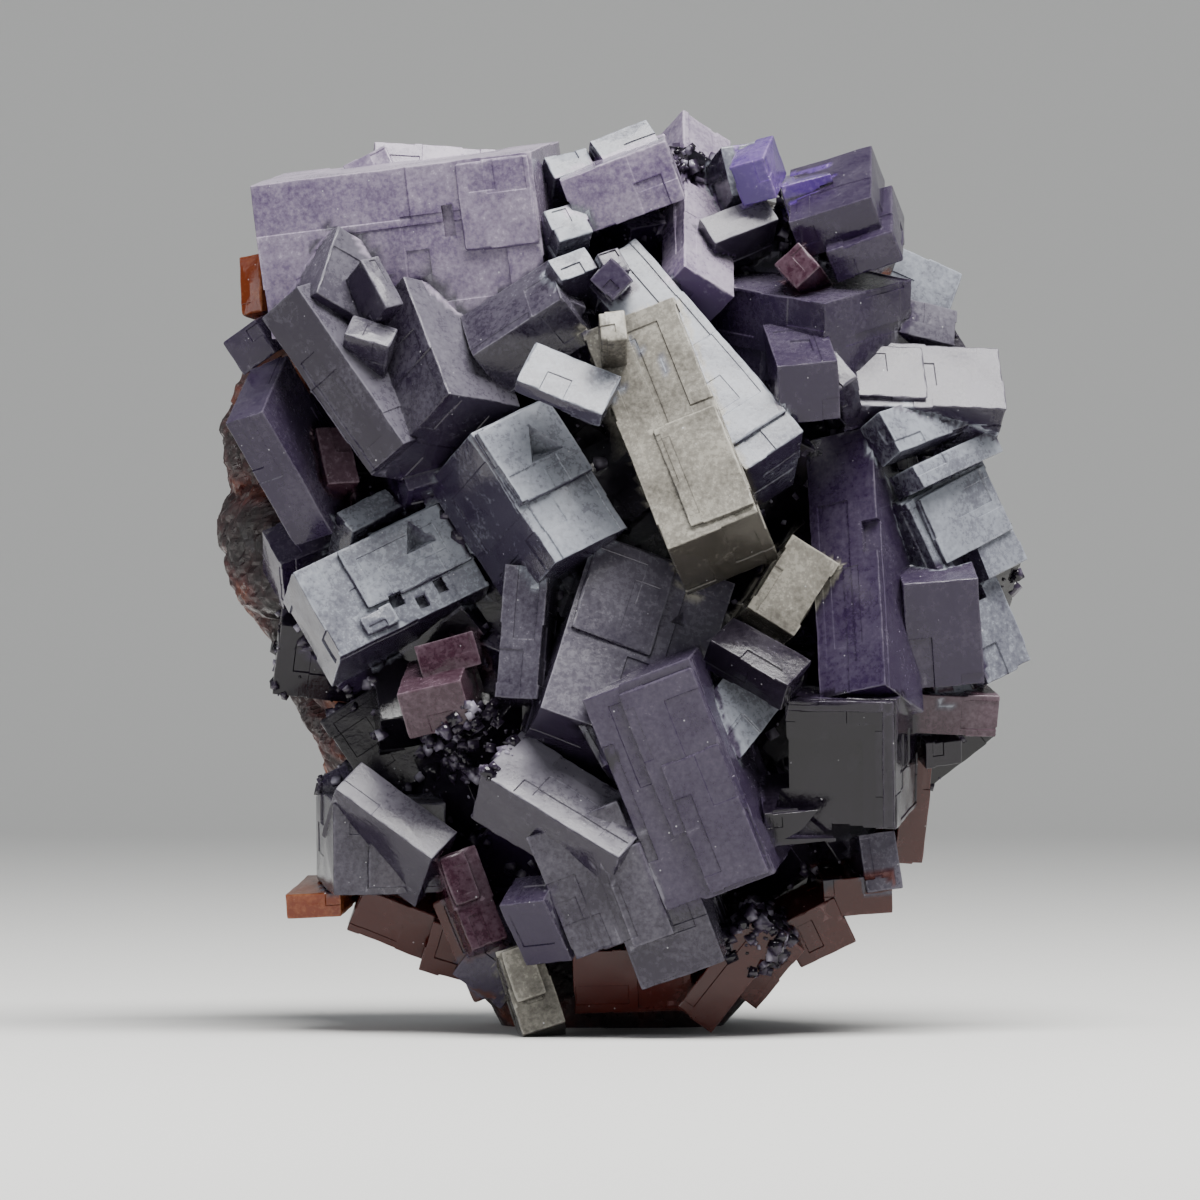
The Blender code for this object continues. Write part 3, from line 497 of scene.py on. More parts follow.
# Grid lines along one edge: even steps, lines close by both ends for the worn edge, and a
# pair beside each growth step so that its riser is steep.
def gridLines(length, step, worn, risers):
    lines = [np.linspace(0.0, length, max(2, int(length / step)) + 1)]
    line = worn * growth["wornLine"]
    lines.append(np.array([0.0, line, worn, length - worn, length - line, length]))
    for place in risers:
        lines.append(np.array([place - growth["riser"], place + growth["riser"]]))
    lines = np.sort(np.concatenate(lines))
    lines = lines[(lines >= 0.0) & (lines <= length)]
    keep = np.concatenate([[True], np.diff(lines) > growth["closest"]])
    lines = lines[keep]
    lines[-1] = length
    return lines


# Growth steps of one face: rectangles that reach in from its sides, each with a depth.
def growthSteps(dice, wide, tall):
    found = []
    for _ in range(int(min(growth["most"], 1 + wide * tall / growth["area"]))):
        left, low = [dice.uniform(*growth["start"]) * side for side in (wide, tall)]
        right, high = [place + dice.uniform(*growth["span"]) * side
                       for place, side in ((left, wide), (low, tall))]
        found.append((left, right, low, high, dice.uniform(*growth["rise"])))
    return found


# Depth of a face under its plane at (s, t): a step down in each rectangle, a low four-sided
# hillock that falls to the sides, and soft waves of crossed sines.
def faceRelief(s, t, steps, wide, tall, seed):
    depth = np.zeros_like(s)
    for left, right, low, high, rise in steps:
        depth += rise * ((s > left) & (s < right) & (t > low) & (t < high))
    p, q = growth["hillTop"]
    away = np.maximum(np.abs(s / wide - p), np.abs(t / tall - q))
    depth += np.clip(away * growth["hillSlope"], 0.0, 1.0) * growth["hill"]
    p, q, r = growth["waves"]
    wave = np.sin(s * p + seed) * np.sin(t * q + seed * 2.0) + np.sin((s + t) * r + seed)
    return -depth - (wave * 0.25 + 0.5) * growth["wave"]


# The outside of a grid of lines along three axes: its points, and its sides as quads.
def gridShell(lines):
    sizes = [len(row) for row in lines]
    outer = np.zeros(sizes, bool)
    for k in range(3):
        for end in (0, sizes[k] - 1):
            outer[tuple(end if axis == k else slice(None) for axis in range(3))] = True
    index = np.full(sizes, -1)
    index[outer] = np.arange(outer.sum())
    grid = np.argwhere(outer)
    spots = np.stack([lines[k][grid[:, k]] for k in range(3)], axis=-1)
    faces = []
    for k in range(3):
        for end in (0, 1):
            side = index[tuple((sizes[k] - 1) * end if axis == k else slice(None) for axis in range(3))]
            if k == 1:
                side = side.T
            a, b, c, d = side[:-1, :-1], side[1:, :-1], side[1:, 1:], side[:-1, 1:]
            faces.append(np.stack([a, b, c, d] if end else [a, d, c, b], axis=-1).reshape(-1, 4))
    return spots, np.concatenate(faces)


# How far a cube's points sink: near each side by that side's relief, less with depth.
def cubeRelief(spots, lengths, steps, seed):
    sink = np.zeros_like(spots)
    for k in range(3):
        s, t = (k + 1) % 3, (k + 2) % 3
        for end in (0, 1):
            depth = lengths[k] - spots[:, k] if end else spots[:, k]
            near = depth < growth["reach"]
            part = spots[near]
            relief = faceRelief(part[:, s], part[:, t], steps[k], lengths[s], lengths[t],
                                seed + k + 3 * end)
            sink[near, k] += (relief if end else -relief) * (1.0 - depth[near] / growth["reach"])
    return sink


# A dense cube: the outside of a grid, with the worn band turned into a quarter round whose
# radius wavers, and each side sunk by its relief.
def denseCube(crystal, seed):
    corner, axes, lengths = boxFrame(crystal)
    dice = random.Random(seed)
    short = float(lengths.min())
    worn = min(growth["worn"] * dice.uniform(*growth["wear"]), short * growth["wornMost"])
    steps = [growthSteps(dice, lengths[(k + 1) % 3], lengths[(k + 2) % 3]) for k in range(3)]
    risers = [[], [], []]
    for k in range(3):
        for left, right, low, high, _ in steps[k]:
            risers[(k + 1) % 3] += [left, right]
            risers[(k + 2) % 3] += [low, high]
    step = min(growth["grid"][1], max(growth["grid"][0], short / growth["gridCells"]))
    lines = [gridLines(lengths[k], step, worn, risers[k]) for k in range(3)]
    spots, faces = gridShell(lines)
    rough = np.sin(spots @ np.array(growth["roughness"]) + seed) * 0.5 + 0.5
    radius = (worn * (0.5 + 0.5 * rough))[:, None]
    inner = np.clip(spots, radius, lengths - radius)
    away = spots - inner
    span = np.linalg.norm(away, axis=1, keepdims=True)
    rounded = inner + away * np.where(span > 1e-9, radius / np.maximum(span, 1e-9), 0.0)
    points = corner + (rounded + cubeRelief(spots, lengths, steps, seed)) @ axes
    return makeMesh("cube", points, faces)


# The rock

rockSettings = {
    # left, right, front and back edge at each height
    "profile": (
        (0.0, -12.0, 15.0, 1.0, 21.0),
        (2.5, -13.5, 17.0, 0.0, 23.0),
        (9.0, -21.0, 23.0, -3.0, 25.0),
        (20.0, -29.0, 30.0, -5.0, 27.0),
        (33.0, -33.0, 35.0, -8.0, 28.5),
        (43.0, -38.0, 37.0, -9.0, 29.5),
        (52.0, -44.0, 38.0, -9.0, 30.0),
        (61.0, -49.0, 39.0, -8.0, 29.0),
        (72.0, -48.0, 38.0, -8.0, 27.5),
        (82.0, -44.0, 36.0, -6.0, 25.0),
        (92.0, -36.0, 31.0, -3.0, 21.0),
        (99.0, -25.0, 24.0, 0.0, 16.0),
        (102.0, -14.0, 14.0, 3.0, 11.0),
    ),
    "rings": 300,
    "spokes": 290,
    "squareness": 2.6,         # 2 would be an ellipse
    "lumps": (3.4, 17.0),      # height and width of the broad lumps
    "blocks": (4.4, 13.0),     # height and width of the broken blocks
    "sunk": 0.7,               # the share of the blocks' height that lies under the profile
    "seeds": (3, 21),
    "groove": 1.8,             # depth of the grooves between blocks
    "grooveShare": 0.3,        # the share of a block that a groove's side takes
    "spacing": (0.35, 0.3),    # eased and even share of the height between rings
    "peak": 2.0,
    "inside": 0.05,            # how far inside the solids' box the rock stays
    "grains": (0.5, 2.3),      # height and width of the small broken grains
    "chinks": (0.2, 2.0),      # width and depth of the chinks between grains
    "fine": (0.25, 0.9),       # height and width of the finest relief
    "fineSeeds": (57, 61),
    "foot": 12.0,              # height over which the swelling grows from the flat foot
    "bed": {"rings": 90, "spokes": 90, "gap": 0.4, "sink": 8.0, "peak": 2.4},
}


# How far the rock swells at each point: broad lumps, a step for each broken block, and a
# groove where two blocks meet.
def rockSwell(points):
    s = rockSettings
    lumps = (softNoise(points, s["lumps"][1], s["seeds"][0]) - 0.5) * 2.0 * s["lumps"][0]
    block, edge = brokenCells(points, s["blocks"][1], s["seeds"][1])
    groove = np.clip(1.0 - edge / s["grooveShare"], 0.0, 1.0) ** 2
    return lumps + (block - s["sunk"]) * s["blocks"][0] - groove * s["groove"]


# The rock as a grid of height and turn: a rounded ring at each height with its sides read from
# the profile, pushed out by the swelling.
def rockGrid(rings, spokes, grow):
    profile = np.array(rockSettings["profile"])
    eased, even = rockSettings["spacing"]
    share = np.linspace(0.0, 1.0, rings + 1)
    height = profile[-1, 0] * ((1.0 - np.cos(share * math.pi)) * eased + share * even)
    left, right, front, back = [
        np.interp(height, profile[:, 0], profile[:, k])[:, None] for k in range(1, 5)]
    turn = np.arange(spokes)[None, :] * math.tau / spokes
    square = rockSettings["squareness"]
    bulge = (np.abs(np.cos(turn)) ** square + np.abs(np.sin(turn)) ** square) ** (-1.0 / square)
    x = (left + right) / 2.0 + (right - left) / 2.0 * np.cos(turn) * bulge
    y = (front + back) / 2.0 + (back - front) / 2.0 * np.sin(turn) * bulge
    z = height[:, None] + np.zeros_like(x)
    points = np.stack([x, y, z], axis=-1)
    rise = np.minimum(1.0, z / rockSettings["foot"])
    swell = rockSwell(points) * rise + grow
    points[..., 0] += np.cos(turn) * swell
    points[..., 1] += np.sin(turn) * swell
    return points


# Closes a stack of rings into one mesh: quads between rings, a flat foot and a low peak.
def closeRings(name, grid, peak):
    rings, spokes = grid.shape[:2]
    ids = np.arange(rings * spokes).reshape(rings, spokes)
    nextIds = np.roll(ids, -1, axis=1)
    lower = np.stack([ids[:-1], nextIds[:-1], nextIds[1:]], axis=-1).reshape(-1, 3)
    upper = np.stack([ids[:-1], nextIds[1:], ids[1:]], axis=-1).reshape(-1, 3)
    foot, crown = rings * spokes, rings * spokes + 1
    base = np.stack([nextIds[0], ids[0], np.full(spokes, foot)], axis=-1)
    cap = np.stack([ids[-1], nextIds[-1], np.full(spokes, crown)], axis=-1)
    ends = np.stack([grid[0].mean(axis=0), grid[-1].mean(axis=0) + [0.0, 0.0, peak]])
    points = np.concatenate([grid.reshape(-1, 3), ends])
    return makeMesh(name, points, np.concatenate([lower, upper, base, cap]))


# Adds the fine grain of a broken surface, pushed in along the ring's way out only. What the
# finer grid finds beyond the solids' box is broken off flat.
def rockPiece():
    s = rockSettings
    grid = rockGrid(s["rings"], s["spokes"], 0.0)
    grain, edge = brokenCells(grid, s["grains"][1], s["fineSeeds"][0])
    fine = softNoise(grid, s["fine"][1], s["fineSeeds"][1]) * s["fine"][0]
    chink = np.clip(s["chinks"][0] - edge, 0.0, s["chinks"][0]) * s["chinks"][1]
    rise = np.minimum(1.0, grid[..., 2] / s["foot"])
    sink = (grain * s["grains"][0] + chink + fine) * rise
    turn = np.arange(grid.shape[1])[None, :] * math.tau / grid.shape[1]
    grid[..., 0] -= np.cos(turn) * sink
    grid[..., 1] -= np.sin(turn) * sink
    low, high = [np.array(corner) / mm + standOffset for corner in cadBounds]
    grid[..., :2] = np.clip(grid[..., :2], low[:2] + s["inside"], high[:2] - s["inside"])
    return closeRings("rustyRock", grid, s["peak"])


# The crust's bed: the rock with a gap round it, sunk below the floor.
def rockBed():
    bed = rockSettings["bed"]
    grid = rockGrid(bed["rings"], bed["spokes"], bed["gap"])
    sunk = grid[:1] - np.array([0.0, 0.0, bed["sink"]])
    return closeRings("bed", np.concatenate([sunk, grid]), bed["peak"])


# The crust


# A plate on a crystal's broad face, or the space of a pit, as a cube of its own.
def patchOf(crystal, left, right, low, high, below, above):
    corner, across, upward, inward = crystal
    out = inward.normalized() * -1.0
    start = corner + across * left + upward * low - out * below
    return [start, across * (right - left), upward * (high - low), out * (below + above)]


# A plain closed box for cutting.
def plainBox(name, crystal):
    corner, axes, lengths = boxFrame(crystal)
    return makeMesh(name, corner + (cubeCorners * lengths) @ axes, cubeSides)


# A three-sided point sunk in a face, as a cutter.
def cornerPit(name, crystal, left, low, radius, depth):
    corner, across, upward, inward = crystal
    out = inward.normalized() * -1.0
    middle = corner + across * left + upward * low
    side = across.normalized()
    rise = out.cross(side)
    spots = []
    for k in range(3):
        turn = math.radians(90.0 + 120.0 * k)
        spots.append(middle + (side * math.cos(turn) + rise * math.sin(turn)) * radius * 2.0 + out * depth)
    spots.append(middle - out * depth)
    faces = np.array([(0, 1, 2), (1, 0, 3), (2, 1, 3), (0, 2, 3)])
    return makeMesh(name, np.array(spots), faces)


# The massive fluorite in the valleys' floors: a ball's grid of turn and level, stretched.
def heartBall():
    level = np.linspace(-1.0, 1.0, heart["levels"])[1:-1][:, None] * math.pi / 2.0
    turn = np.arange(heart["turns"])[None, :] * math.tau / heart["turns"]
    flat = np.cos(level)
    ball = np.stack([flat * np.cos(turn), flat * np.sin(turn), np.sin(level) + 0.0 * turn], axis=-1)
    grid = np.array(heart["middle"]) + ball * np.array(heart["radii"])
    return closeRings("heart", grid, heart["cap"])


# Every crystal with its name.
def allCrystals():
    named = {}
    for name, *row in faceCrystals:
        named[name] = faceCrystal(*row)
    for name, *row in cornerCrystals:
        named[name] = cornerCrystal(*row)
    return named


# The whole crust as one closed mesh, and its crystals by name.
def buildCrust():
    named = allCrystals()
    sides = dict(named)
    for k, cube in enumerate(valleyCubes()):
        sides["valley %d" % k] = cube
    for k, cube in enumerate(rimCubes()):
        sides["rim %d" % k] = cube
    root, clearance = crustSettings["stepRoot"], crustSettings["pitClearance"]
    for k, (name, left, right, low, high, above) in enumerate(terraces):
        sides["%s, step %d" % (name, k)] = patchOf(named[name], left, right, low, high, root, above)
    cubes = [denseCube(crystal, crustSettings["seed"] + k) for k, crystal in enumerate(sides.values())]
    print("dense cubes:", len(cubes))
    crust = joinAll([heartBall()] + cubes)
    side, depth = crustSettings["ground"]
    ground = [(-side / 2.0, -side / 2.0, -depth), (side, 0, 0), (0, side, 0), (0, 0, depth)]
    cutters = [rockBed(), plainBox("floorCutter", [Vector(row) for row in ground])]
    for name, left, right, low, high, below in pits:
        cutters.append(plainBox("pit", patchOf(named[name], left, right, low, high, below, clearance)))
    for name, left, low, radius, depth in cornerPits:
        cutters.append(cornerPit("pit", named[name], left, low, radius, depth))
    combine(crust, joinAll(cutters), "DIFFERENCE")
    return crust, sides


# Keeps the faces of the mesh's largest connected part: each triangle ties its corners' labels
# to the lowest of them, and labels are followed to their ends, until all corners agree.
def largestShell(points, corners):
    label = np.arange(len(points))
    while True:
        tags = label[corners]
        low = tags.min(axis=1)
        if (tags == low[:, None]).all():
            break
        np.minimum.at(label, tags.ravel(), np.repeat(low, 3))
        while (label[label] != label).any():
            label = label[label]
    names, counts = np.unique(label[corners[:, 0]], return_counts=True)
    return corners[label[corners[:, 0]] == names[counts.argmax()]]


# For each point: the number of the crystal whose surface lies closest, how far the point is
# from that crystal's nearest edge, and the number of the side that it lies on.
def nearestCrystals(points, sides):
    room = crustSettings["near"]
    best = np.full(len(points), np.inf)
    owner = np.full(len(points), -1)
    worn = np.zeros(len(points))
    facing = np.zeros(len(points), int)
    byX = np.argsort(points[:, 0])
    xs = points[byX, 0]
    for number, crystal in enumerate(sides.values()):
        corner, axes, lengths = boxFrame(crystal)
        middle = corner[0] + (axes[:, 0] * lengths).sum() / 2.0
        reach = (np.abs(axes[:, 0]) * lengths).sum() / 2.0 + room
        ids = byX[np.searchsorted(xs, middle - reach):np.searchsorted(xs, middle + reach)]
        spots = (points[ids] - corner) @ axes.T
        near = (np.abs(spots - lengths / 2.0) < lengths / 2.0 + room).all(axis=1)
        ids, spots = ids[near], spots[near]
        inside = np.minimum(spots, lengths - spots)
        order = np.sort(inside, axis=1)
        gap = np.abs(order[:, 0])
        won = gap < best[ids]
        ids, spots, inside = ids[won], spots[won], inside[won]
        best[ids] = gap[won]
        owner[ids] = number
        worn[ids] = np.maximum(order[won, 1], 0.0)
        axis = inside.argmin(axis=1)
        far = np.take_along_axis(spots > lengths / 2.0, axis[:, None], 1)[:, 0]
        facing[ids] = axis * 2 + far
    return owner, worn, facing


# Which way each point looks: the mean way of its triangles, by their corners' cross product.
def outward(points, corners):
    a, b, c = points[corners[:, 0]], points[corners[:, 1]], points[corners[:, 2]]
    cross = np.cross(b - a, c - a)
    ids, ways = corners.ravel(), np.repeat(cross, 3, axis=0)
    total = np.stack([np.bincount(ids, ways[:, k], len(points)) for k in range(3)], axis=-1)
    return total / np.maximum(np.linalg.norm(total, axis=1, keepdims=True), 1e-9)


# Writes an attribute with one number or one colour for each point.
def setAttribute(piece, name, values):
    kind, key = ("FLOAT", "value") if values.ndim == 1 else ("FLOAT_COLOR", "color")
    layer = piece.data.attributes.new(name, kind, "POINT")
    layer.data.foreach_set(key, values.astype(np.float32).ravel())


# One colour, written as an sRGB hex, in linear numbers.
def linear(text):
    parts = [int(text[k:k + 2], 16) / 255.0 for k in (1, 3, 5)]
    return [p / 12.92 if p <= 0.04045 else ((p + 0.055) / 1.055) ** 2.4 for p in parts]


# Small cubes grown on the crust: each is turned by the orthogonal part of a random matrix and
# has its middle on a random vertex, so it is half sunk. Only vertices of valley and rim cubes
# and of the sparkling patches are taken, the patches' far more often.
def druse(points, owner, sides):
    dice = np.random.default_rng(grains["seed"])
    isSmall = np.array([name.startswith(("valley", "rim")) for name in sides] + [True])
    front = points[:, 1] < grains["deepest"]
    weight = isSmall[owner] * front * 1.0
    for x, z, radius, more in grains["patches"]:
        close = np.hypot(points[:, 0] - x, points[:, 2] - z) < radius
        weight += (close & front) * more
    low = np.array(cadBounds[0]) / mm + standOffset + grains["margin"]
    high = np.array(cadBounds[1]) / mm + standOffset - grains["margin"]
    weight *= ((points > low) & (points < high)).all(axis=1)
    count = grains["count"]
    chosen = dice.choice(len(points), count, p=weight / weight.sum())
    least, most = grains["half"]
    half = least + (most - least) * dice.random(count) ** grains["smallness"]
    turned = np.linalg.qr(dice.normal(size=(count, 3, 3)))[0]
    turned *= np.sign(np.linalg.det(turned))[:, None, None]
    least, more = grains["stretch"]
    stretch = half[:, None, None] * (least + more * dice.random((count, 1, 3)))
    corners = points[chosen][:, None, :] + ((cubeCorners * 2.0 - 1.0)[None] * stretch) @ turned
    faces = (cubeSides[None] + 8 * np.arange(count)[:, None, None]).reshape(-1, 4)
    return makeMesh("fluoriteGrains", corners.reshape(-1, 3), faces)


# Body colour, frost colour and frost for each crystal, and a last row for points of none:
# dark with no frost, a painted shade on the valley floors between the crystals
def tintTable(names):
    tintOf = {name: tint for tint, group in tintGroups.items() for name in group}
    dice = random.Random(tintSeed)
    table = []
    for name in names:
        plain = name.split(",")[0]
        if plain.startswith(("valley", "rim")):
            tint = dice.choice(smallTints)
        else:
            tint = tintOf.get(plain, "violet")
        table.append(linear(tints[tint][0]) + linear(tints[tint][1]) + [tints[tint][2]])
    return np.array(table + [linear(tints["dark"][0]) + linear(tints["dark"][1]) + [0.0]])


# The number of the piece that each crystal goes to: crystals taken by their turn around the
# heart's middle, with about the same number of triangles in each piece.
def pieceNumbers(home, sides, count):
    centres = np.array([np.array(c[0] + (c[1] + c[2] + c[3]) * 0.5) for c in sides.values()])
    turn = np.arctan2(centres[:, 2] - heart["middle"][2], centres[:, 0] - heart["middle"][0])
    weight = np.bincount(home[home >= 0], minlength=len(sides))
    order = np.argsort(turn)
    running = np.cumsum(weight[order]) / max(1, weight.sum())
    part = np.zeros(len(sides) + 1, int)
    part[order] = np.minimum((running * count).astype(int), count - 1)
    return part


# Splits the crust into pieces by their crystals' places, each with its attributes. Frost is
# the crystal's own, times a painted light: more on faces that look up and to the front, less
# on faces that look away, a painted shade.
def crustPieces(crust, sides):
    points, corners = readMesh(crust)
    gone = crust.data
    bpy.data.objects.remove(crust)
    bpy.data.meshes.remove(gone)
    corners = largestShell(points, corners)
    print("crust triangles:", len(corners))
    owner, worn, facing = nearestCrystals(points, sides)
    chosen = tintTable(sides)[owner]
    shade = cellHash(np.stack([owner, facing, np.full_like(owner, 5)], axis=-1).astype(float), 2)
    # Painted light and shade: the frost, which makes a face paler, follows how far the face looks towards
    # the overhead light
    lit = outward(points, corners) @ np.array(crustSettings["paintedLightSide"])
    least = crustSettings["frostInPaintedShade"]
    frost = chosen[:, 6] * np.clip(least + lit * (1.0 - least), crustSettings["leastFrostInPaintedShade"], 1.0)
    opaque = np.ones((len(points), 1))
    written = {"bodyTint": np.hstack([chosen[:, 0:3], opaque]),
               "frostTint": np.hstack([chosen[:, 3:6], opaque]),
               "frost": frost, "edge": worn, "shade": shade}
    count = max(2, math.ceil(len(corners) / crustSettings["mostTriangles"]) + 1)
    home = owner[corners[:, 0]]
    part = pieceNumbers(home, sides, count)
    found = []
    for k in range(count):
        mine = corners[part[home] == k]
        if len(mine) == 0:
            continue
        used, fresh = np.unique(mine.ravel(), return_inverse=True)
        piece = makeMesh("fluoriteCrust%d" % (k + 1), points[used], fresh.reshape(-1, 3))
        for name, values in written.items():
            setAttribute(piece, name, values[used])
        piece.data.shade_flat()
        found.append(piece)
        print(piece.name, len(mine))
    seen = np.unique(corners)
    return found, druse(points[seen], owner[seen], sides)


# Materials


# Links or sets a node's inputs.
def setInputs(material, node, inputs):
    for key, value in inputs.items():
        if isinstance(value, bpy.types.NodeSocket):
            material.node_tree.links.new(value, node.inputs[key])
        else:
            node.inputs[key].default_value = value


# Adds a node with its settings and inputs.
def addNode(material, kind, settings=None, inputs=None):
    node = material.node_tree.nodes.new("ShaderNode" + kind)
    for key, value in (settings or {}).items():
        setattr(node, key, value)
    setInputs(material, node, inputs or {})
    return node


# A material with nothing but its shader, linked to the output.
def newMaterial(name):
    material = bpy.data.materials.new(name)
    material.use_nodes = True
    return material, material.node_tree.nodes["Principled BSDF"]


# Sets a colour ramp's stops from rows of place and colour, the first and the last place first.
def setStops(ramp, rows):
    stops = ramp.color_ramp.elements
    for k, (at, text) in enumerate(rows):
        stop = stops[k] if k < 2 else stops.new(at)
        stop.position = at
        stop.color = (*linear(text), 1.0)


refraction = {"fluorite": 1.434, "rock": 1.54}
fluoriteSettings = {
    "blotch": 0.16,          # blotches for each millimetre
    "speckle": 1.6,          # dust specks and painted glints for each millimetre
    "dustAndGlints": 1.1,             # dust specks for each millimetre
    # how much frost blotches, specks, a face of its own and worn edges add; near the edges it is also a
    # painted highlight
    "patchy": {"From Min": 0.36, "From Max": 0.62, "To Min": -0.2, "To Max": 0.12},
    "grainy": {"From Min": 0.35, "From Max": 0.7, "To Min": -0.22, "To Max": 0.2},
    "each": {"To Min": -0.14, "To Max": 0.14},
    "edgeFrostAndHighlight": {"From Min": 0.0, "From Max": 0.6, "To Min": 0.7, "To Max": 0.0},
    # a speck's size in its cell, how strongly its soft side shows, and its pale colour: dust with a painted
    # glint
    "dustAndGlintSize": {"From Min": 0.6, "From Max": 0.9, "To Max": 0.13},
    "dustAndGlintShown": {"From Max": 0.04, "To Max": 0.75},
    "dustAndGlintColor": (0.6, 0.6, 0.62, 1.0),
    # roughness and clearness from bare to frosted
    "rough": {"To Min": 0.12, "To Max": 0.34},
    "clear": {"To Min": 0.3, "To Max": 0.0},
    "bump": {"Strength": 0.15, "Distance": 0.0002},
}


# Violet fluorite, grown as cubes: a dark clear body under an etched, frosted skin that is
# thicker in blotches and on the edges, so that faces look silver grey over deep violet. The
# pale frost also carries painted light: painted light on faces that look up and to the
# front, painted shade on faces that look away, painted highlights along the edges, and pale
# specks that are dust and painted glints.
def fluoriteMaterial():
    s = fluoriteSettings
    m, shader = newMaterial("violet fluorite, etched and frosted cube faces")
    read = {name: addNode(m, "Attribute", {"attribute_name": name}).outputs
            for name in ("bodyTint", "frostTint", "frost", "edge", "shade")}
    place = addNode(m, "TexCoord").outputs["Object"]
    blotch = addNode(m, "TexNoise", {}, {
        "Vector": place, "Scale": s["blotch"] * 1000.0, "Detail": 5.0, "Roughness": 0.62}).outputs["Fac"]
    speckle = addNode(m, "TexNoise", {}, {
        "Vector": place, "Scale": s["speckle"] * 1000.0, "Detail": 3.0, "Roughness": 0.7}).outputs["Fac"]
    patchy = addNode(m, "MapRange", {}, {"Value": blotch, **s["patchy"]}).outputs[0]
    grainy = addNode(m, "MapRange", {}, {"Value": speckle, **s["grainy"]}).outputs[0]
    each = addNode(m, "MapRange", {}, {"Value": read["shade"]["Fac"], **s["each"]}).outputs[0]
    smooth = {"interpolation_type": "SMOOTHSTEP"}
    # Frost near the edges: worn, frosted edges that are also painted edge highlights
    nearEdge = addNode(m, "MapRange", smooth, {"Value": read["edge"]["Fac"], **s["edgeFrostAndHighlight"]}).outputs[0]
    # the crystal's frost, with the painted light and shade of each face's facing in it
    total = read["frost"]["Fac"]
    for part in (patchy, grainy, each, nearEdge):
        total = addNode(m, "Math", {"operation": "ADD"}, {0: total, 1: part}).outputs[0]
    total = addNode(m, "Clamp", {}, {"Value": total}).outputs[0]
    mixed = addNode(m, "Mix", {"data_type": "RGBA"}, {
        0: total, 6: read["bodyTint"]["Color"], 7: read["frostTint"]["Color"]}).outputs[2]
    # Pale specks: dust, and painted glints that stand in for the sparkle of light
    cells = addNode(m, "TexVoronoi", {}, {"Vector": place, "Scale": s["dustAndGlints"] * 1000.0})
    kept = addNode(m, "MapRange", {}, {"Value": cells.outputs["Color"], **s["dustAndGlintSize"]}).outputs[0]
    less = addNode(m, "Math", {"operation": "SUBTRACT"}, {0: kept, 1: cells.outputs["Distance"]}).outputs[0]
    dustAndGlints = addNode(m, "MapRange", {}, {"Value": less, **s["dustAndGlintShown"]}).outputs[0]
    mixed = addNode(m, "Mix", {"data_type": "RGBA"}, {0: dustAndGlints, 6: mixed, 7: s["dustAndGlintColor"]}).outputs[2]
    rough = addNode(m, "MapRange", {}, {"Value": total, **s["rough"]}).outputs[0]
    clear = addNode(m, "MapRange", {}, {"Value": total, **s["clear"]}).outputs[0]
    bump = addNode(m, "Bump", {}, {"Height": speckle, **s["bump"]}).outputs[0]
    setInputs(m, shader, {
        "Base Color": mixed, "Roughness": rough, "Transmission Weight": clear, "Normal": bump,
        "IOR": refraction["fluorite"]})
    return m


grainLooks = {
    "tint": 0.42,            # changes of tint for each millimetre
    "stops": ((0.38, "#120d17"), (0.68, "#8d8896"), (0.55, "#3a3142")),
    "rough": 0.12,
}


# Fluorite grains, grown late: glossy dark violet cubes with little frost, so that they glint.
def grainMaterial():
    s = grainLooks
    m, shader = newMaterial("dark violet fluorite, small glossy grown cubes")
    place = addNode(m, "TexCoord").outputs["Object"]
    each = addNode(m, "TexNoise", {}, {
        "Vector": place, "Scale": s["tint"] * 1000.0, "Detail": 1.0}).outputs["Fac"]
    ramp = addNode(m, "ValToRGB", {}, {0: each})
    setStops(ramp, s["stops"])
    setInputs(m, shader, {
        "Base Color": ramp.outputs[0], "Roughness": s["rough"], "IOR": refraction["fluorite"]})
    return m


rockLooks = {
    # rust patches, grains and glinting grains for each millimetre
    "patch": 0.09,
    "grain": 0.9,
    "glint": 1.3,
    "stops": (
        (0.4, "#151011"), (0.72, "#94501f"), (0.48, "#261517"), (0.55, "#3f1c1c"), (0.62, "#5d2c18"),
    ),
    # brightness by grain, and roughness from glinting grains to dull ones
    "worn": {"From Min": 0.3, "From Max": 0.7, "To Min": 0.45, "To Max": 1.5},
    "rough": {"From Min": 0.2, "From Max": 0.8, "To Min": 0.25, "To Max": 0.8},
    "bump": {"Strength": 0.5, "Distance": 0.0006},
}


# Iron-stained rock, broken: black-brown with rust and maroon patches, dull, with small glossy
# grains that glint.
def rockMaterial():
    s = rockLooks
    m, shader = newMaterial("iron-stained rock, broken")
    place = addNode(m, "TexCoord").outputs["Object"]
    patch = addNode(m, "TexNoise", {}, {
        "Vector": place, "Scale": s["patch"] * 1000.0, "Detail": 6.0, "Roughness": 0.6}).outputs["Fac"]
    grain = addNode(m, "TexNoise", {}, {
        "Vector": place, "Scale": s["grain"] * 1000.0, "Detail": 4.0, "Roughness": 0.7}).outputs["Fac"]
    glint = addNode(m, "TexVoronoi", {}, {"Vector": place, "Scale": s["glint"] * 1000.0})
    ramp = addNode(m, "ValToRGB", {}, {0: patch})
    setStops(ramp, s["stops"])
    worn = addNode(m, "MapRange", {}, {"Value": grain, **s["worn"]}).outputs[0]
    color = addNode(m, "VectorMath", {"operation": "SCALE"}, {0: ramp.outputs[0], "Scale": worn}).outputs[0]
    rough = addNode(m, "MapRange", {}, {"Value": glint.outputs["Color"], **s["rough"]}).outputs[0]
    bump = addNode(m, "Bump", {}, {"Height": grain, **s["bump"]}).outputs[0]
    setInputs(m, shader, {
        "Base Color": color, "Roughness": rough, "Normal": bump, "IOR": refraction["rock"]})
    return m


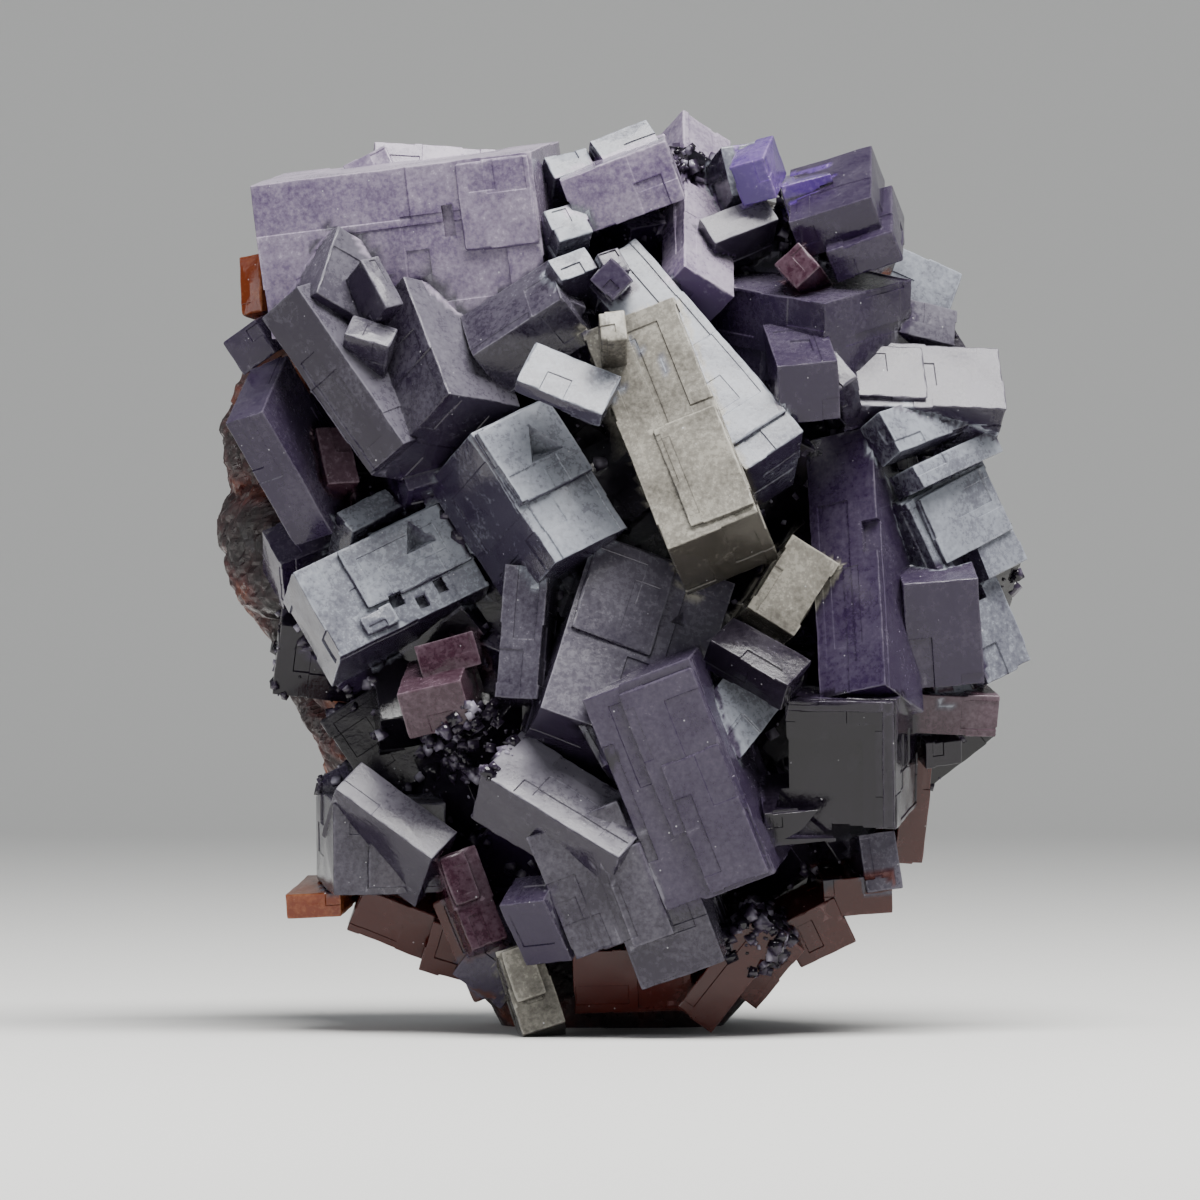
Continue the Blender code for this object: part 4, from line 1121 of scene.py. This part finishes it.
# Matt paper for the studio's floor and back.
def paperMaterial():
    m, shader = newMaterial("pale matt backdrop paper")
    setInputs(m, shader, {"Base Color": (*linear("#dcdcda"), 1.0), "Roughness": 0.9})
    return m


# The studio

studio = {
    "lens": 300.0,
    "distance": 1.2,
    "aim": (0.0, 51.6),       # front view x and z that the camera looks at
    "middle": (0.0, 0.0, 0.055),
    "half": 3.0,              # half the floor's width, and how far it comes to the front and up
    "bend": (1.0, 0.6, 25),   # where the bend starts, its radius and its points
    "air": (0.8, 0.84, 0.9, 1.0),
    "airLight": 0.28,
}


# A floor that curves up into a back wall: a profile in y and z drawn out along x.
def backdrop():
    half = studio["half"]
    start, radius, count = studio["bend"]
    turn = np.linspace(0.0, math.pi / 2.0, count)
    y = np.concatenate([[-half], start + radius * np.sin(turn), [start + radius]])
    z = np.concatenate([[0.0], radius - radius * np.cos(turn), [half]])
    x = np.array([-half, half])
    points = np.stack([x[None, :] + 0.0 * y[:, None], y[:, None] + 0.0 * x, z[:, None] + 0.0 * x], axis=-1)
    ids = np.arange(points.shape[0] * 2).reshape(-1, 2)
    quads = np.stack([ids[:-1, 0], ids[:-1, 1], ids[1:, 1], ids[1:, 0]], axis=-1)
    floor = makeMesh("backdrop", points.reshape(-1, 3) / mm + standOffset, quads)
    floor.data.shade_smooth()
    return floor


# A soft rectangular light that looks at the specimen's middle.
def softLight(name, place, size, power, color):
    data = bpy.data.lights.new(name, "AREA")
    data.shape = "RECTANGLE"
    data.size, data.size_y = size
    data.energy = power
    data.color = color
    light = bpy.data.objects.new(name, data)
    light.location = place
    aim = Vector(studio["middle"]) - Vector(place)
    light.rotation_euler = aim.to_track_quat("-Z", "Y").to_euler()
    bpy.context.scene.collection.objects.link(light)


crust, sides = buildCrust()
fluorite = fluoriteMaterial()
pieces, grown = crustPieces(crust, sides)
for piece in pieces:
    piece.data.materials.append(fluorite)
    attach(piece, "root")
    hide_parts("fluorite_crust")
grown.data.materials.append(grainMaterial())
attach(grown, "root")
rock = rockPiece()
rock.data.materials.append(rockMaterial())
rock.data.shade_flat()
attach(rock, "root")
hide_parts("matrix")
print("rock faces:", len(rock.data.polygons))

floor = backdrop()
floor.data.materials.append(paperMaterial())
softLight("overhead", (0.12, -0.28, 0.75), (0.6, 0.4), 17.0, (1.0, 0.99, 0.97))
softLight("left fill", (-0.9, -0.7, 0.35), (0.5, 0.5), 2.5, (0.95, 0.97, 1.0))

world = bpy.data.worlds.new("studio air")
world.use_nodes = True
world.node_tree.nodes["Background"].inputs[0].default_value = studio["air"]
world.node_tree.nodes["Background"].inputs[1].default_value = studio["airLight"]
bpy.context.scene.world = world

cameraData = bpy.data.cameras.new("camera")
cameraData.lens = studio["lens"]
camera = bpy.data.objects.new("camera", cameraData)
camera.location = ((studio["aim"][0] - standOffset[0]) * mm, -studio["distance"], studio["aim"][1] * mm)
camera.rotation_euler = (math.pi / 2.0, 0.0, 0.0)
bpy.context.scene.collection.objects.link(camera)
bpy.context.scene.camera = camera
